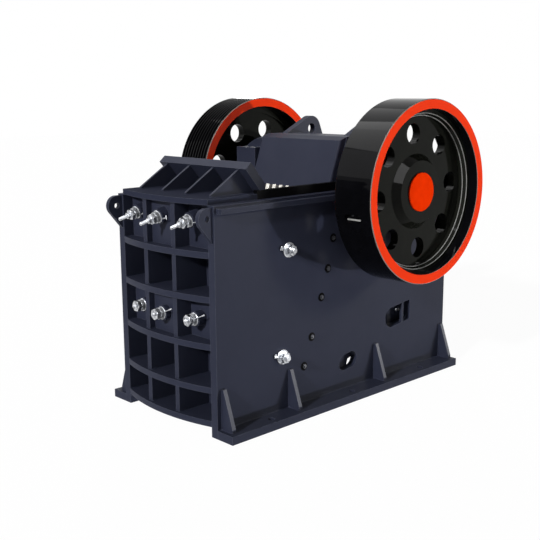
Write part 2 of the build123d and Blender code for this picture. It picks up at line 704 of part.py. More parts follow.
# Lifting eyes on the head, cut to sit on its flat top and its rounded rear
eye_offset = stock_half - HEAD_EYE_INSET
eye_front = head_front + HEAD_EYE_SETBACK
eye_rear = SHAFT_FROM_FRONT + HEAD_EYE_END
crown_centre = (along(head_rear - HEAD_CROWN), head_top - HEAD_CROWN)
with BuildPart() as head_eyes:
    for x in (-eye_offset, eye_offset):
        with BuildSketch(Plane.YZ.offset(x)) as eye_sketch:
            with BuildLine():
                Polyline(
                    (along(eye_front), head_top - HEAD_CROWN),
                    (along(eye_front), head_top),
                    (along(SHAFT_FROM_FRONT + HEAD_EYE_APEX), head_top + HEAD_EYE_HEIGHT),
                    (along(eye_rear), head_top - HEAD_EYE_HEEL_DROP),
                    (along(eye_rear), head_top - HEAD_CROWN),
                    close=True,
                )
            make_face()
            fillet(eye_sketch.vertices().group_by(Axis.Y)[-1], radius=HEAD_EYE_ROUNDING)
            hole_place = (along(SHAFT_FROM_FRONT + HEAD_EYE_HOLE_BACK), head_top + HEAD_EYE_HOLE_RISE)
            with Locations(hole_place):
                Circle(HEAD_EYE_HOLE / 2, mode=Mode.SUBTRACT)
            with Locations(crown_centre):
                Circle(HEAD_CROWN + FIT_GAP, mode=Mode.SUBTRACT)
                Rectangle(
                    2 * HEAD_REACH,
                    2 * (HEAD_CROWN + FIT_GAP),
                    align=(Align.MAX, Align.CENTER),
                    mode=Mode.SUBTRACT,
                )
        extrude(amount=HEAD_EYE_THICKNESS / 2, both=True)

# Bearing housings: round seats in the side plates, blocks with crowned tops outside
housing_end = INNER + HOUSING_DEPTH
shoulder = SHAFT_HEIGHT + HOUSING_SHOULDER
housing_front = along(SHAFT_FROM_FRONT - HOUSING_HALF_LENGTH)
housing_rear = along(SHAFT_FROM_FRONT + HOUSING_HALF_LENGTH)
crown_front = along(SHAFT_FROM_FRONT - HOUSING_CROWN_HALF)
crown_rear = along(SHAFT_FROM_FRONT + HOUSING_CROWN_HALF)
with BuildPart() as bearing_housing_right:
    with BuildSketch(Plane.YZ.offset(INNER)):
        with BuildLine():
            Polyline(
                (crown_front, shoulder),
                (housing_front, shoulder),
                (housing_front, PLATE_HEIGHT),
                (housing_rear, PLATE_HEIGHT),
                (housing_rear, shoulder),
                (crown_rear, shoulder),
            )
            ThreePointArc(
                (crown_rear, shoulder),
                (along(SHAFT_FROM_FRONT), shoulder + HOUSING_CROWN),
                (crown_front, shoulder),
            )
        make_face()
        with Locations((along(SHAFT_FROM_FRONT), SHAFT_HEIGHT)):
            Circle(HOUSING_SEAT_RADIUS)
    extrude(amount=HOUSING_DEPTH)
    with BuildSketch(Plane.YZ.offset(OUTER)):
        with Locations((along(SHAFT_FROM_FRONT), SHAFT_HEIGHT)):
            Circle(HOUSING_HALF_LENGTH)
        with Locations((along(SHAFT_FROM_FRONT), PLATE_HEIGHT + HOUSING_HALF_LENGTH)):
            Rectangle(3 * HOUSING_HALF_LENGTH, 2 * HOUSING_HALF_LENGTH, mode=Mode.SUBTRACT)
    extrude(amount=HOUSING_DEPTH - PLATE_THICKNESS)
    shaft_bar(JOURNAL_RADIUS + SHAFT_CLEARANCE, INNER, housing_end, mode=Mode.SUBTRACT)

with BuildPart() as bearing_housing_left:
    mirror(bearing_housing_right.part, about=Plane.YZ)

cover_end = housing_end + COVER_THICKNESS + COVER_HUB_THICKNESS
with BuildPart() as bearing_cover_right:
    shaft_bar(COVER_RADIUS, housing_end, housing_end + COVER_THICKNESS)
    shaft_bar(COVER_HUB_RADIUS, housing_end, cover_end)
    shaft_bar(JOURNAL_RADIUS + SHAFT_CLEARANCE, housing_end, cover_end, mode=Mode.SUBTRACT)

with BuildPart() as bearing_cover_left:
    mirror(bearing_cover_right.part, about=Plane.YZ)

# Rear wall with ribs and webs
rear_top = PLATE_HEIGHT - REAR_RIB_DROP
rear_low = rod_height - REAR_RIB_BELOW_ROD
rear_pitch = (rear_top - rear_low) / REAR_ROWS
rear_rib_tops = [rear_top - index * rear_pitch for index in range(REAR_ROWS + 1)]
rear_rib_end = FRAME_LENGTH - REAR_RIB_INSET
with BuildPart() as rear_wall:
    wall_bottom = rear_low - RIB_THICKNESS
    block(-INNER, INNER, REAR_WALL_FRONT, REAR_WALL_BACK, wall_bottom, rear_top)
    rod_bars(ROD_RADIUS + ROD_HOLE_GAP, REAR_WALL_FRONT, REAR_WALL_BACK, mode=Mode.SUBTRACT)

with BuildPart() as rear_ribs:
    for top in rear_rib_tops:
        block(-INNER, INNER, REAR_WALL_BACK, rear_rib_end, top - RIB_THICKNESS, top)

rear_web_place = INNER - ROD_INSET - REAR_WEB_FROM_ROD
with BuildPart() as rear_webs:
    for x in (-rear_web_place, rear_web_place):
        for high, low in zip(rear_rib_tops[:-1], rear_rib_tops[1:]):
            half = WEB_THICKNESS / 2
            end = rear_rib_end - WEB_OVERHANG
            block(x - half, x + half, REAR_WALL_BACK, end, low, high - RIB_THICKNESS)

# Toggle plate, its block on two ledges, and the shims behind it
with BuildPart() as toggle_plate:
    toggle_shape(block_half - TOGGLE_INSET, 0)

with BuildPart() as toggle_block:
    block(-block_half, block_half, block_front, block_back, BLOCK_BOTTOM, block_top)
    toggle_shape(INNER, FIT_GAP, mode=Mode.SUBTRACT)

with BuildPart() as toggle_ledges:
    low = BLOCK_BOTTOM - LEDGE_THICKNESS
    end = REAR_WALL_FRONT - LEDGE_BEFORE_WALL
    block(INNER - LEDGE_WIDTH, INNER, block_front, end, low, BLOCK_BOTTOM)
    mirror(about=Plane.YZ)

shim_pitch = (REAR_WALL_FRONT - block_back) / SHIM_COUNT
shim_half = INNER - SHIM_SIDE_GAP
with BuildPart() as toggle_shims:
    for index in range(SHIM_COUNT):
        start = block_back + index * shim_pitch + SHIM_GAP / 2
        end = start + shim_pitch - SHIM_GAP
        block(-shim_half, shim_half, start, end, BLOCK_BOTTOM, block_top)

# Tension rods with their springs behind the rear wall
spring_start = REAR_WALL_BACK + ROD_WASHER
spring_end = spring_start + SPRING_LENGTH
nut_start = spring_end + ROD_WASHER
nut_end = nut_start + ROD_NUT
with BuildPart() as tension_rods:
    rod_bars(ROD_RADIUS, toe_rear - ROD_SCREW_IN + FIT_GAP, nut_end + ROD_TAIL)
    rod_bars(ROD_WASHER_RADIUS, spring_end, nut_start)
    with BuildSketch(Plane.XZ.offset(-along(nut_start))):
        with Locations(*rod_places):
            RegularPolygon(ROD_NUT_RADIUS, 6)
    extrude(amount=-ROD_NUT)

with BuildPart() as spring_seats:
    rod_bars(ROD_WASHER_RADIUS, REAR_WALL_BACK, spring_start)
    rod_bars(ROD_RADIUS + FIT_GAP, REAR_WALL_BACK, spring_start, mode=Mode.SUBTRACT)

with BuildPart() as tension_springs:
    coil_length = SPRING_LENGTH - 2 * SPRING_WIRE - 2 * FIT_GAP
    for x, z in rod_places:
        with BuildLine() as coil:
            Helix(
                pitch=coil_length / SPRING_TURNS,
                height=coil_length,
                radius=SPRING_RADIUS,
                center=(x, along(spring_start + SPRING_WIRE + FIT_GAP), z),
                direction=(0, 1, 0),
            )
        with BuildSketch(Plane(origin=coil.line @ 0, z_dir=coil.line % 0)):
            Circle(SPRING_WIRE)
        sweep(path=coil.line, is_frenet=True)


# Jaw bolts, each with its washer, spring, nut and turned-down tip
def jaw_bolts(bolts, stack, tip_radius, tip_reach, tilt):
    """Row of bolts, each one rod with a stack of round and hexagonal pieces on its boss."""
    with BuildPart() as row:
        for plane, depth in bolts:
            end = depth - BOLT_RADIUS * tan(radians(tilt)) - FIT_GAP
            with BuildSketch(plane.offset(-end)):
                Circle(BOLT_RADIUS)
            extrude(amount=end)
            height = 0
            for shape, radius, length in stack:
                with BuildSketch(plane.offset(height)):
                    if shape == "hex":
                        RegularPolygon(radius, 6)
                    else:
                        Circle(radius)
                extrude(amount=length)
                height += length
            with BuildSketch(plane):
                Circle(tip_radius)
            extrude(amount=tip_reach)
    return row


jaw_bolts_upper = jaw_bolts(
    upper_row, UPPER_STACK, UPPER_TIP_RADIUS, UPPER_TIP_REACH, UPPER_BOLT_TILT
)
jaw_bolts_lower = jaw_bolts(lower_row, LOWER_STACK, LOWER_TIP_RADIUS, LOWER_TIP_REACH, 0)

# Places of the wheels along the shaft
wheel_start = housing_end + WHEEL_GAP
wheel_end = wheel_start + WHEEL_WIDTH
web_start = wheel_start + WHEEL_WEB_START
web_end = web_start + WHEEL_WEB
hub_start = cover_end + HUB_GAP
hub_end = web_end + HUB_RISE
rim_inner = WHEEL_RADIUS - RIM_THICKNESS
ring_radius = rim_inner - WHEEL_RING_WIDTH
wheel_bore = WHEEL_SEAT_RADIUS + FIT_GAP
shaft_plane = Plane(
    origin=(0, along(SHAFT_FROM_FRONT), SHAFT_HEIGHT), x_dir=(1, 0, 0), z_dir=(0, -1, 0)
)
shaft_axis = Axis((0, along(SHAFT_FROM_FRONT), SHAFT_HEIGHT), (1, 0, 0))

# Shaft with its thicker middle in the moving jaw
with BuildPart() as eccentric_shaft:
    shaft_bar(ECCENTRIC_RADIUS, ECCENTRIC_SIDE_GAP - INNER, INNER - ECCENTRIC_SIDE_GAP)
    shaft_bar(JOURNAL_RADIUS, JOURNAL_SHOULDER - hub_start, hub_start - JOURNAL_SHOULDER)
    shaft_bar(WHEEL_SEAT_RADIUS, -hub_end, hub_end)


def turn(section):
    """Turn a closed (X, radius) section round the shaft axis."""
    with BuildSketch(shaft_plane) as profile:
        with BuildLine():
            Polyline(*section, close=True)
        make_face()
    revolve(profile.sketch, axis=shaft_axis)


def cut_wheel_holes(phase):
    """Cut the ring of round holes through a wheel's web."""
    hole_plane = Plane(
        origin=(web_start - WHEEL_WEB, along(SHAFT_FROM_FRONT), SHAFT_HEIGHT),
        x_dir=(0, 1, 0),
        z_dir=(1, 0, 0),
    )
    with BuildSketch(hole_plane) as ring:
        with PolarLocations(ring_radius - WHEEL_HOLE_INSET, WHEEL_HOLES, start_angle=phase):
            Circle(WHEEL_HOLE_RADIUS)
    extrude(ring.sketch, amount=3 * WHEEL_WEB, mode=Mode.SUBTRACT)


# Disc of a wheel: web, ring steps and hub
disc_section = [
    (web_start - WHEEL_RING_STEP, rim_inner),
    (web_end + WHEEL_RING_STEP, rim_inner),
    (web_end + WHEEL_RING_STEP, ring_radius),
    (web_end, ring_radius),
    (web_end, HUB_BASE_RADIUS),
    (hub_end, HUB_BASE_RADIUS - HUB_TAPER),
    (hub_end, wheel_bore),
    (hub_start, wheel_bore),
    (hub_start, HUB_INNER_RADIUS),
    (web_start, HUB_INNER_RADIUS),
    (web_start, ring_radius),
    (web_start - WHEEL_RING_STEP, ring_radius),
]
with BuildPart() as flywheel_disc:
    turn(disc_section)
    cut_wheel_holes(FLYWHEEL_HOLE_PHASE)

with BuildPart() as right_hand_disc:
    turn(disc_section)
    cut_wheel_holes(PULLEY_HOLE_PHASE)

with BuildPart() as pulley_disc:
    mirror(right_hand_disc.part, about=Plane.YZ)

# Flywheel rim with a plain tread and a slot for a turning bar
plain_tread = [
    (wheel_start, WHEEL_RADIUS - WHEEL_CHAMFER),
    (wheel_start + WHEEL_CHAMFER, WHEEL_RADIUS),
    (wheel_end - WHEEL_CHAMFER, WHEEL_RADIUS),
    (wheel_end, WHEEL_RADIUS - WHEEL_CHAMFER),
]
slot_way = radians(BAR_SLOT_ANGLE)
slot_plane = Plane(
    origin=(
        (web_start + web_end) / 2,
        along(SHAFT_FROM_FRONT) + WHEEL_RADIUS * cos(slot_way),
        SHAFT_HEIGHT + WHEEL_RADIUS * sin(slot_way),
    ),
    x_dir=(1, 0, 0),
    z_dir=(0, cos(slot_way), sin(slot_way)),
)
with BuildPart() as flywheel_rim:
    turn([(wheel_start, rim_inner), *plain_tread, (wheel_end, rim_inner)])
    with BuildSketch(slot_plane):
        SlotOverall(BAR_SLOT_LENGTH, BAR_SLOT_WIDTH)
    extrude(amount=BAR_SLOT_DEPTH, both=True, mode=Mode.SUBTRACT)

# Pulley rim with V-grooves in its tread
groove_pitch = (WHEEL_WIDTH - 2 * GROOVE_LAND) / GROOVES
grooved_tread = plain_tread[:2]
for index in range(GROOVES):
    middle = wheel_start + GROOVE_LAND + (index + 0.5) * groove_pitch
    grooved_tread += [
        (middle - GROOVE_TOP / 2, WHEEL_RADIUS),
        (middle - GROOVE_ROOT / 2, WHEEL_RADIUS - GROOVE_DEPTH),
        (middle + GROOVE_ROOT / 2, WHEEL_RADIUS - GROOVE_DEPTH),
        (middle + GROOVE_TOP / 2, WHEEL_RADIUS),
    ]
grooved_tread += plain_tread[2:]
with BuildPart() as right_hand_rim:
    turn([(wheel_start, rim_inner), *grooved_tread, (wheel_end, rim_inner)])

with BuildPart() as pulley_rim:
    mirror(right_hand_rim.part, about=Plane.YZ)

with BuildPart() as shaft_end_caps:
    shaft_bar(END_CAP_RADIUS, hub_end, hub_end + END_CAP_THICKNESS)
    mirror(about=Plane.YZ)

pieces = {
    "side_plate_right": side_plate_right,
    "side_plate_left": side_plate_left,
    "foot_right": foot_right,
    "foot_left": foot_left,
    "foot_gussets": foot_gussets,
    "front_wall": front_wall,
    "front_ribs": front_ribs,
    "front_webs": front_webs,
    "bolt_pads": bolt_pads,
    "top_front_plate": top_front_plate,
    "hopper_plate": hopper_plate,
    "hopper_fins": hopper_fins,
    "top_rims": top_rims,
    "frame_eyes": frame_eyes,
    "cheek_plate_right": cheek_plate_right,
    "cheek_plate_left": cheek_plate_left,
    "fixed_jaw_plate": fixed_jaw_plate,
    "moving_jaw_plate": moving_jaw_plate,
    "head_guard_plate": head_guard_plate,
    "moving_jaw": moving_jaw,
    "moving_jaw_ribs": moving_jaw_ribs,
    "moving_jaw_head": moving_jaw_head,
    "head_eyes": head_eyes,
    "bearing_housing_right": bearing_housing_right,
    "bearing_housing_left": bearing_housing_left,
    "bearing_cover_right": bearing_cover_right,
    "bearing_cover_left": bearing_cover_left,
    "rear_wall": rear_wall,
    "rear_ribs": rear_ribs,
    "rear_webs": rear_webs,
    "toggle_plate": toggle_plate,
    "toggle_block": toggle_block,
    "toggle_ledges": toggle_ledges,
    "toggle_shims": toggle_shims,
    "tension_rods": tension_rods,
    "spring_seats": spring_seats,
    "tension_springs": tension_springs,
    "jaw_bolts_upper": jaw_bolts_upper,
    "jaw_bolts_lower": jaw_bolts_lower,
    "eccentric_shaft": eccentric_shaft,
    "flywheel_disc": flywheel_disc,
    "flywheel_rim": flywheel_rim,
    "pulley_disc": pulley_disc,
    "pulley_rim": pulley_rim,
    "shaft_end_caps": shaft_end_caps,
}
for name, piece in pieces.items():
    save(piece, name)
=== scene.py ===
"""Dress a packed single-toggle jaw crusher for a studio picture.

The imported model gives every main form. This script paints it, replaces the plain jaw bolts by
turned ones, adds the fasteners, welds and studs that the solids leave out, and lights it on a
white floor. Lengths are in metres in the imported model's frame; sizes in the sub-assembly
classes are in millimetres, and distances run from the front edge of the side plates.
"""

from __future__ import annotations

import logging
import math
from collections.abc import Sequence
from dataclasses import dataclass
from enum import Enum

import bmesh
import bpy
from bmesh.types import BMesh
from bpy.types import ID, Material, Mesh, Node, NodeSocket, NodeTree, Object, World
from mathutils import Matrix, Vector

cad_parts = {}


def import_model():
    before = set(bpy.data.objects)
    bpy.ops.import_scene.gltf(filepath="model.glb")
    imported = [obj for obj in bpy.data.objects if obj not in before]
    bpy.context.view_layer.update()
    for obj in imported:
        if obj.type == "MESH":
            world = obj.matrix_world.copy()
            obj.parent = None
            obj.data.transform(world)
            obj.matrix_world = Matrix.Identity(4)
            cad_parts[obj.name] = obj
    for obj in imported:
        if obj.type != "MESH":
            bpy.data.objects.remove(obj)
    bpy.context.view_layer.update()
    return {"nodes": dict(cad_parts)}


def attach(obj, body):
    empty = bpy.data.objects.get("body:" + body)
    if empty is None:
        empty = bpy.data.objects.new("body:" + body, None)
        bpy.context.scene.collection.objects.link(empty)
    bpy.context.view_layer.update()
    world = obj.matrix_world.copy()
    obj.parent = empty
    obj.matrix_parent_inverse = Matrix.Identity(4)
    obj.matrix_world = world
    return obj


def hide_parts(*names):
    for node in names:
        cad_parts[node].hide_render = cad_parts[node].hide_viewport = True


log = logging.getLogger("jaw_crusher")

MM = 0.001
HALF_LENGTH = 1343.0
SHAFT_FROM_FRONT = 1719.1
SHAFT_HEIGHT = 1672.0
PLATE_FACE = 570.0
PLATE_INNER = 504.0
CRISP_ANGLE = 32.0
BAR_SIDES = 12

Pair = tuple[float, float]
Triple = tuple[float, float, float]
# Points of an outline: radius and height, or distance and height, in millimetres
Profile = Sequence[Pair]
# A hexagon's circumradius, bottom, top and chamfer
Nut = tuple[float, float, float, float]
# A threaded end's radius, bottom, top and pitch
Thread = tuple[float, float, float, float]
# A spring stack's radius, bottom, top and number of discs
Stack = tuple[float, float, float, int]
# A round rod's start, end and radius
Rod = tuple[Triple, Triple, float]
Seam = tuple[Vector, Vector]


def place(x: float, distance: float, height: float) -> Vector:
    """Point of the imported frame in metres.

    Args:
        x: Millimetres along the shaft from the machine's middle.
        distance: Millimetres behind the front edge of the side plates.
        height: Millimetres above the ground.

    Returns:
        The point as a vector in metres.
    """
    return Vector((x * MM, (distance - HALF_LENGTH) * MM, height * MM))


def linear(code: str) -> tuple[float, float, float, float]:
    """Turn an sRGB hex colour such as 2F3241 into linear RGBA."""
    values = [int(code[i : i + 2], 16) / 255 for i in (0, 2, 4)]
    red, green, blue = (v / 12.92 if v <= 0.04045 else ((v + 0.055) / 1.055) ** 2.4 for v in values)
    return (red, green, blue, 1.0)


def add_node(tree: NodeTree, kind: str, settings: dict | None = None, links: dict | None = None) -> Node:
    """Add one node, set its sockets or properties, and link its inputs.

    Args:
        tree: Node tree that gets the node.
        kind: Blender's type name of the node.
        settings: Socket name or number, or property name, to value.
        links: Input socket name or number to the output socket that feeds it.

    Returns:
        The new node.
    """
    node = tree.nodes.new(kind)
    for key, value in (settings or {}).items():
        if isinstance(key, int) or key in node.inputs:
            node.inputs[key].default_value = value
        else:
            setattr(node, key, value)
    for key, source in (links or {}).items():
        tree.links.new(source, node.inputs[key])
    return node


def emptied(holder: Material | World) -> NodeTree:
    """The node tree of a new material or world, with nothing in it."""
    holder.use_nodes = True
    holder.node_tree.nodes.clear()
    return holder.node_tree


def linked(name: str, data: ID) -> Object:
    """New object of the scene for a mesh, lamp or camera."""
    item = bpy.data.objects.new(name, data)
    bpy.context.scene.collection.objects.link(item)
    return item


def per_metre(width_mm: float) -> float:
    """Noise scale whose features are about as wide as a real size in millimetres."""
    return 1.0 / (width_mm * MM)


# Finishes


@dataclass(frozen=True)
class Surface:
    """Base of every finish: a named material that ends in one Principled shader."""

    name: str

    def start(self) -> tuple[Material, NodeTree, NodeSocket]:
        """Make the empty material.

        Returns:
            The material, its tree, and the Object coordinates that its patterns read.
        """
        material = bpy.data.materials.new(self.name)
        tree = emptied(material)
        coordinates = add_node(tree, "ShaderNodeTexCoord")
        return material, tree, coordinates.outputs["Object"]

    def mottle(
        self, tree: NodeTree, position: NodeSocket, width_mm: float, detail: float,
        shades: tuple[str, str], span: Pair, rough: Pair, rough_from: float = 0.3,
    ) -> tuple[NodeSocket, NodeSocket, NodeSocket]:
        """Two shades in soft patches, which change the roughness too.

        Args:
            tree: The material's tree.
            position: The Object coordinates.
            width_mm: Width of the patches in millimetres.
            detail: Finer octaves of the patches.
            shades: sRGB hex of both shades.
            span: Noise values at which the first shade ends and the second is full.
            rough: Lowest and highest roughness.
            rough_from: Noise value at which the roughness starts to rise.

        Returns:
            The colour, the roughness and the noise behind them.
        """
        noise = add_node(
            tree, "ShaderNodeTexNoise", {"Scale": per_metre(width_mm), "Detail": detail, "Roughness": 0.55},
            {"Vector": position},
        )
        patches = noise.outputs["Fac"]
        share = add_node(
            tree, "ShaderNodeMapRange", {"From Min": span[0], "From Max": span[1]}, {"Value": patches}
        )
        colour = add_node(
            tree, "ShaderNodeMix", {"data_type": "RGBA", 6: linear(shades[0]), 7: linear(shades[1])},
            {0: share.outputs["Result"]},
        )
        sheen = add_node(
            tree, "ShaderNodeMapRange",
            {"From Min": rough_from, "From Max": 0.7, "To Min": rough[0], "To Max": rough[1]},
            {"Value": patches},
        )
        return colour.outputs[2], sheen.outputs["Result"], patches

    def relief(
        self, tree: NodeTree, position: NodeSocket, width_mm: float, detail: float,
        strength: float, depth_mm: float,
    ) -> NodeSocket:
        """Shader normal with a relief of soft bumps of a real width."""
        noise = add_node(
            tree, "ShaderNodeTexNoise", {"Scale": per_metre(width_mm), "Detail": detail, "Roughness": 0.55},
            {"Vector": position},
        )
        settings = {"Strength": strength, "Distance": depth_mm * MM}
        bump = add_node(tree, "ShaderNodeBump", settings, {"Height": noise.outputs["Fac"]})
        return bump.outputs["Normal"]

    def speckled(
        self, tree: NodeTree, position: NodeSocket, mask: NodeSocket, width_mm: float
    ) -> tuple[NodeSocket, NodeSocket]:
        """Break a mask of wear and painted highlight up into specks.

        Args:
            tree: The material's tree.
            position: The Object coordinates.
            mask: 1 where the wear and painted highlight are strongest.
            width_mm: Width of the specks in millimetres.

        Returns:
            The broken mask and the noise behind it.
        """
        specks = add_node(
            tree, "ShaderNodeTexNoise", {"Scale": per_metre(width_mm), "Detail": 5.0, "Roughness": 0.55},
            {"Vector": position},
        )
        left = add_node(
            tree, "ShaderNodeMapRange", {"From Min": 0.3, "From Max": 0.6, "To Min": 0.55},
            {"Value": specks.outputs["Fac"]},
        )
        worn_and_highlit = add_node(
            tree, "ShaderNodeMath", {"operation": "MULTIPLY"}, {0: mask, 1: left.outputs["Result"]}
        )
        return worn_and_highlit.outputs["Value"], specks.outputs["Fac"]

    def end(self, tree: NodeTree, settings: dict, links: dict) -> None:
        """End the material in its shader and output.

        Args:
            tree: The material's tree.
            settings: What is the same all over the surface.
            links: What changes over the surface.
        """
        shader = add_node(tree, "ShaderNodeBsdfPrincipled", settings, links)
        add_node(tree, "ShaderNodeOutputMaterial", links={"Surface": shader.outputs["BSDF"]})


@dataclass(frozen=True)
class MachineEnamel(Surface):
    """Alkyd machine enamel sprayed on hot-rolled plate: low sheen, faint orange peel, edges paler by wear
    and by painted highlight.
    """

    body: str = "2F3241"
    thick: str = "2B2E3D"
    # Pale edge colour: partly rubbed paint, partly painted highlight.
    edge: str = "5A5E6B"
    roughness: float = 0.42
    specular: float = 0.05
    cloud_mm: float = 340.0
    speck_mm: float = 26.0
    edge_mm: float = 5.0

    def worn_and_highlit_edges(self, tree: NodeTree, position: NodeSocket) -> NodeSocket:
        """Mask of sharp outer edges, where the paint is thin in specks and a pale painted highlight stands
        for the light they catch.
        """
        bevel = add_node(tree, "ShaderNodeBevel", {"samples": 6, "Radius": self.edge_mm * MM})
        geometry = add_node(tree, "ShaderNodeNewGeometry")
        bend = add_node(
            tree, "ShaderNodeVectorMath", {"operation": "DOT_PRODUCT"},
            {0: bevel.outputs["Normal"], 1: geometry.outputs["Normal"]},
        )
        sharp = add_node(
            tree, "ShaderNodeMapRange", {"From Min": 0.86, "From Max": 0.99, "To Min": 0.85, "To Max": 0.0},
            {"Value": bend.outputs["Value"]},
        )
        return self.speckled(tree, position, sharp.outputs["Result"], self.speck_mm)[0]

    def build(self) -> Material:
        """Make the material.

        Returns:
            Dark enamel with cloudy coats, faint orange peel, and edges paler by thin paint and by painted
            highlight.
        """
        material, tree, position = self.start()
        rough = (self.roughness - 0.03, self.roughness + 0.04)
        shades = (self.body, self.thick)
        coat, sheen, _ = self.mottle(tree, position, self.cloud_mm, 3.0, shades, (0.35, 0.7), rough)
        colour = add_node(
            tree, "ShaderNodeMix", {"data_type": "RGBA", 7: linear(self.edge)},
            {0: self.worn_and_highlit_edges(tree, position), 6: coat},
        )
        # Orange peel is 2 to 4 mm wide, drawn at 9 mm so that it shows at this distance.
        peel = self.relief(tree, position, 9.0, 2.0, 0.06, 2.0)
        links = {"Base Color": colour.outputs[2], "Roughness": sheen, "Normal": peel}
        self.end(tree, {"Specular IOR Level": self.specular}, links)
        return material


@dataclass(frozen=True)
class WheelEnamel(Surface):
    """Gloss black enamel on turned cast iron, with orange-red end faces on the rims."""

    body: str = "070709"
    shade: str = "0B0B0E"
    band: str = "FF3A05"
    # Pale colour of the corner band: painted highlight.
    edge: str = "8A8078"
    roughness: float = 0.04
    specular: float = 0.05
    cloud_mm: float = 120.0
    banded: bool = False
    wheel_middle: float = 930.5
    face_from_middle: float = 173.1
    highlight_from_middle: float = 167.8

    def bands(
        self, tree: NodeTree, position: NodeSocket, colour: NodeSocket, shine: NodeSocket
    ) -> tuple[NodeSocket, NodeSocket]:
        """Paint a rim's corners with a pale band of painted highlight, then its matt orange end faces, over
        the black.

        Args:
            tree: The material's tree.
            position: The Object coordinates.
            colour: Colour of the black enamel.
            shine: Its roughness.

        Returns:
            The colour and the roughness with both bands.
        """
        axes = add_node(tree, "ShaderNodeSeparateXYZ", links={"Vector": position})
        along = add_node(tree, "ShaderNodeMath", {"operation": "ABSOLUTE"}, {0: axes.outputs["X"]})
        off_middle = add_node(
            tree, "ShaderNodeMath", {"operation": "SUBTRACT", 1: self.wheel_middle * MM},
            {0: along.outputs["Value"]},
        )
        out = add_node(tree, "ShaderNodeMath", {"operation": "ABSOLUTE"}, {0: off_middle.outputs["Value"]})
        for start, paint in ((self.highlight_from_middle, self.edge), (self.face_from_middle, self.band)):
            past = add_node(
                tree, "ShaderNodeMath", {"operation": "GREATER_THAN", 1: start * MM},
                {0: out.outputs["Value"]},
            )
            mix = add_node(
                tree, "ShaderNodeMix", {"data_type": "RGBA", 7: linear(paint)},
                {0: past.outputs["Value"], 6: colour},
            )
            colour = mix.outputs[2]
        matt = add_node(
            tree, "ShaderNodeMath", {"operation": "MAXIMUM"}, {0: past.outputs["Value"], 1: shine}
        )
        return colour, matt.outputs["Value"]

    def build(self) -> Material:
        """Make the material.

        Returns:
            Black enamel that mirrors its surroundings; a banded one has matt orange end faces.
        """
        material, tree, position = self.start()
        rough = (self.roughness, self.roughness + 0.02)
        shades = (self.body, self.shade)
        colour, shine, _ = self.mottle(tree, position, self.cloud_mm, 3.0, shades, (0.3, 0.7), rough)
        if self.banded:
            colour, shine = self.bands(tree, position, colour, shine)
        # Runs in the flowed enamel, about 160 mm apart.
        runs = self.relief(tree, position, 160.0, 0.0, 0.04, 4.0)
        links = {"Base Color": colour, "Roughness": shine, "Normal": runs}
        self.end(tree, {"Specular IOR Level": self.specular}, links)
        return material


@dataclass(frozen=True)
class TurnedSteel(Surface):
    """Turned and zinc-plated steel: bright metal with fine tool marks and dull hollows."""

    bright: str = "D0D2D6"
    dull: str = "74767B"
    roughness: float = 0.24
    patch_mm: float = 22.0

    def build(self) -> Material:
        """Make the material.

        Returns:
            Bright steel with dull patches and fine tool marks.
        """
        material, tree, position = self.start()
        rough = (self.roughness, self.roughness + 0.25)
        shades = (self.bright, self.dull)
        colour, sheen, _ = self.mottle(tree, position, self.patch_mm, 4.0, shades, (0.42, 0.66), rough, 0.4)
        # Tool marks are 0.3 mm apart, drawn at 2.5 mm so that they break up the highlights.
        marks = self.relief(tree, position, 2.5, 2.0, 0.12, 0.6)
        self.end(tree, {"Metallic": 1.0}, {"Base Color": colour, "Roughness": sheen, "Normal": marks})
        return material


@dataclass(frozen=True)
class CastManganese(Surface):
    """Cast manganese steel: dark sand-cast skin, with tooth tips lightened, partly as polish by rock and
    partly as painted highlight.
    """

    skin: str = "3A3836"
    # Light colour of the tooth tips: polish from rock and painted highlight.
    tip: str = "C9C6BF"
    face_distance: float = 560.0
    face_height: float = 300.0
    lean_degrees: float = 0.0
    towards_rear: bool = True
    polish_and_highlight_mm: Pair = (12.0, 3.0)
    grain_mm: float = 14.0

    def build(self) -> Material:
        """Make the material.

        Returns:
            Cast steel that turns bright within 12 mm of the plane of the tooth tips.
        """
        material, tree, position = self.start()
        lean = math.radians(self.lean_degrees)
        out = Vector((0.0, math.cos(lean), -math.sin(lean))) * (1.0 if self.towards_rear else -1.0)
        level = out.dot(place(0.0, self.face_distance, self.face_height))
        depth = add_node(
            tree, "ShaderNodeVectorMath", {"operation": "DOT_PRODUCT", 1: tuple(out)}, {0: position}
        )
        low, high = (level - size * MM for size in self.polish_and_highlight_mm)
        near = add_node(
            tree, "ShaderNodeMapRange", {"From Min": low, "From Max": high},
            {"Value": depth.outputs["Value"]},
        )
        worn_and_highlit, grain = self.speckled(tree, position, near.outputs["Result"], self.grain_mm)
        paint = {"data_type": "RGBA", 6: linear(self.skin), 7: linear(self.tip)}
        colour = add_node(tree, "ShaderNodeMix", paint, {0: worn_and_highlit}).outputs[2]
        sheen = add_node(tree, "ShaderNodeMapRange", {"To Min": 0.62, "To Max": 0.3}, {"Value": worn_and_highlit})
        bump = add_node(tree, "ShaderNodeBump", {"Strength": 0.3, "Distance": 2.0 * MM}, {"Height": grain})
        self.end(
            tree, {"Metallic": 0.85},
            {"Base Color": colour, "Roughness": sheen.outputs["Result"], "Normal": bump.outputs["Normal"]},
        )
        return material


